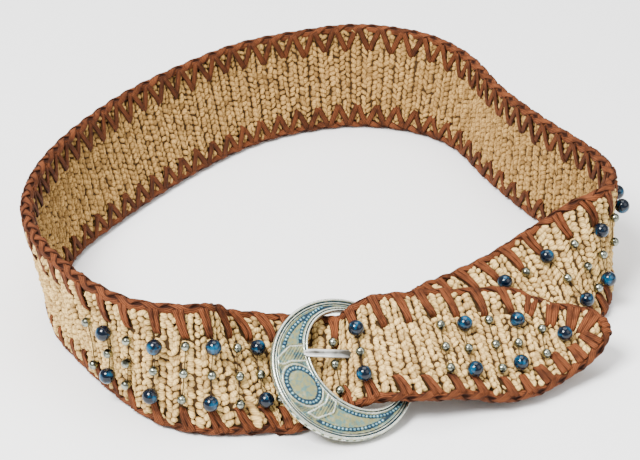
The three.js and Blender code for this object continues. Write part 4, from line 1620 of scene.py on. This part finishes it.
    def tab(self) -> None:
        """Makes the leather tab that folds round the ring's thin side."""
        shell = Shell()
        bend = np.radians(np.linspace(90, 270, 15))
        straight = np.linspace(self.tab_end, self.tab_bend, 12)
        side = np.full_like(straight, self.tab_half)
        u = np.concatenate([straight, self.tab_bend - 0.2 + 3.0 * np.cos(bend), straight[::-1]])
        n = np.concatenate([side, self.tab_half * np.sin(bend), -side])

        # Two full arms with the prong's slot between them, which the tab's end closes on both sides
        for low, high, keep in ((-18, -10.5, u > 0), (4, 12, u > 0), (-10.5, 4, u > 41.6)):
            for part in ((keep, ) if keep.all() else (keep & (n > 0), keep & (n < 0))):
                path = self._points(u[part], (low + high) / 2, n[part])
                facing = self._n if n[part].min() >= 0 else -self._n
                if part.all():
                    normal = unit(path - self._points(np.maximum(u[part], 26.0), (low + high) / 2, 0.0))
                else:
                    normal = np.broadcast_to(facing, path.shape)
                sweep(shell, path, normal, high - low, 1.2, STRAND, 0.5)
        finish_piece(shell.build("folded_tab", self.palette.tab), "tab", "buckle_tab")

    def build(self) -> None:
        """Makes the ring, its beads, the prong and the tab."""
        self.ring()
        self.dots()
        self.prong()
        self.tab()


@dataclass
class Studio:
    """The floor, the lights and the camera."""

    palette: Palette
    camera_place: tuple[float, float, float] = (-4.27, -971.94, 580.0)
    elevation: float = 30.0
    lens: float = 114.4
    air: float = 0.66
    floor_reach: float = 6000.0

    def _light(self, name: str, place: tuple[float, float, float], size: float, power: float) -> None:
        """Adds a soft square light that faces the belt.

        Args:
            name: its name.
            place: where it stands, in metres.
            size: its width in metres.
            power: its power in watts.
        """
        data = bpy.data.lights.new(name, "AREA")
        data.size, data.energy = size, power
        lamp = bpy.data.objects.new(name, data)
        lamp.location = place
        way = -lamp.location
        lamp.rotation_euler = way.to_track_quat("-Z", "Y").to_euler()
        bpy.context.scene.collection.objects.link(lamp)

    def build(self) -> None:
        """Makes the floor, lights and camera."""
        shell = Shell()
        corners = np.array([(-1, -1, 0), (1, -1, 0), (1, 1, 0), (-1, 1, 0)]) * self.floor_reach
        shell.add(corners, np.array([[0, 1, 2, 3]]))
        floor = shell.build("floor", self.palette.floor, False)
        self._light("key_light", (-0.8, -0.9, 1.7), 0.8, 128.0)
        self._light("fill_light", (1.3, -0.7, 1.2), 1.4, 14.0)
        self._light("top_light", (0.1, 0.5, 1.9), 1.4, 34.0)
        world = bpy.data.worlds.new("studio_air")
        world.use_nodes = True
        air = world.node_tree.nodes["Background"]
        air.inputs[0].default_value = (1.0, 1.0, 1.0, 1.0)
        air.inputs[1].default_value = self.air
        bpy.context.scene.world = world
        data = bpy.data.cameras.new("photo_camera")
        data.lens, data.sensor_width = self.lens, 36.0
        data.clip_start, data.clip_end = 0.05, 30.0
        camera = bpy.data.objects.new("photo_camera", data)
        camera.location = [v * MM for v in self.camera_place]
        camera.rotation_euler = (math.radians(90 - self.elevation), 0, 0)
        bpy.context.scene.collection.objects.link(camera)
        bpy.context.scene.camera = camera


def main() -> None:
    """Builds the belt's pieces in order."""
    logging.basicConfig(level=logging.INFO, format="%(name)s %(message)s")
    palette = Palette(Effects())
    course = Course()
    log.info("strap length %.1f mm", course.length)
    stitches = LaceStitches(course, palette)
    CrochetBand(course, palette).build(stitches)
    stitches.build()
    BeadWork(course, palette).build()
    Buckle(palette).build()
    Studio(palette).build()


if __name__ == "__main__":
    main()
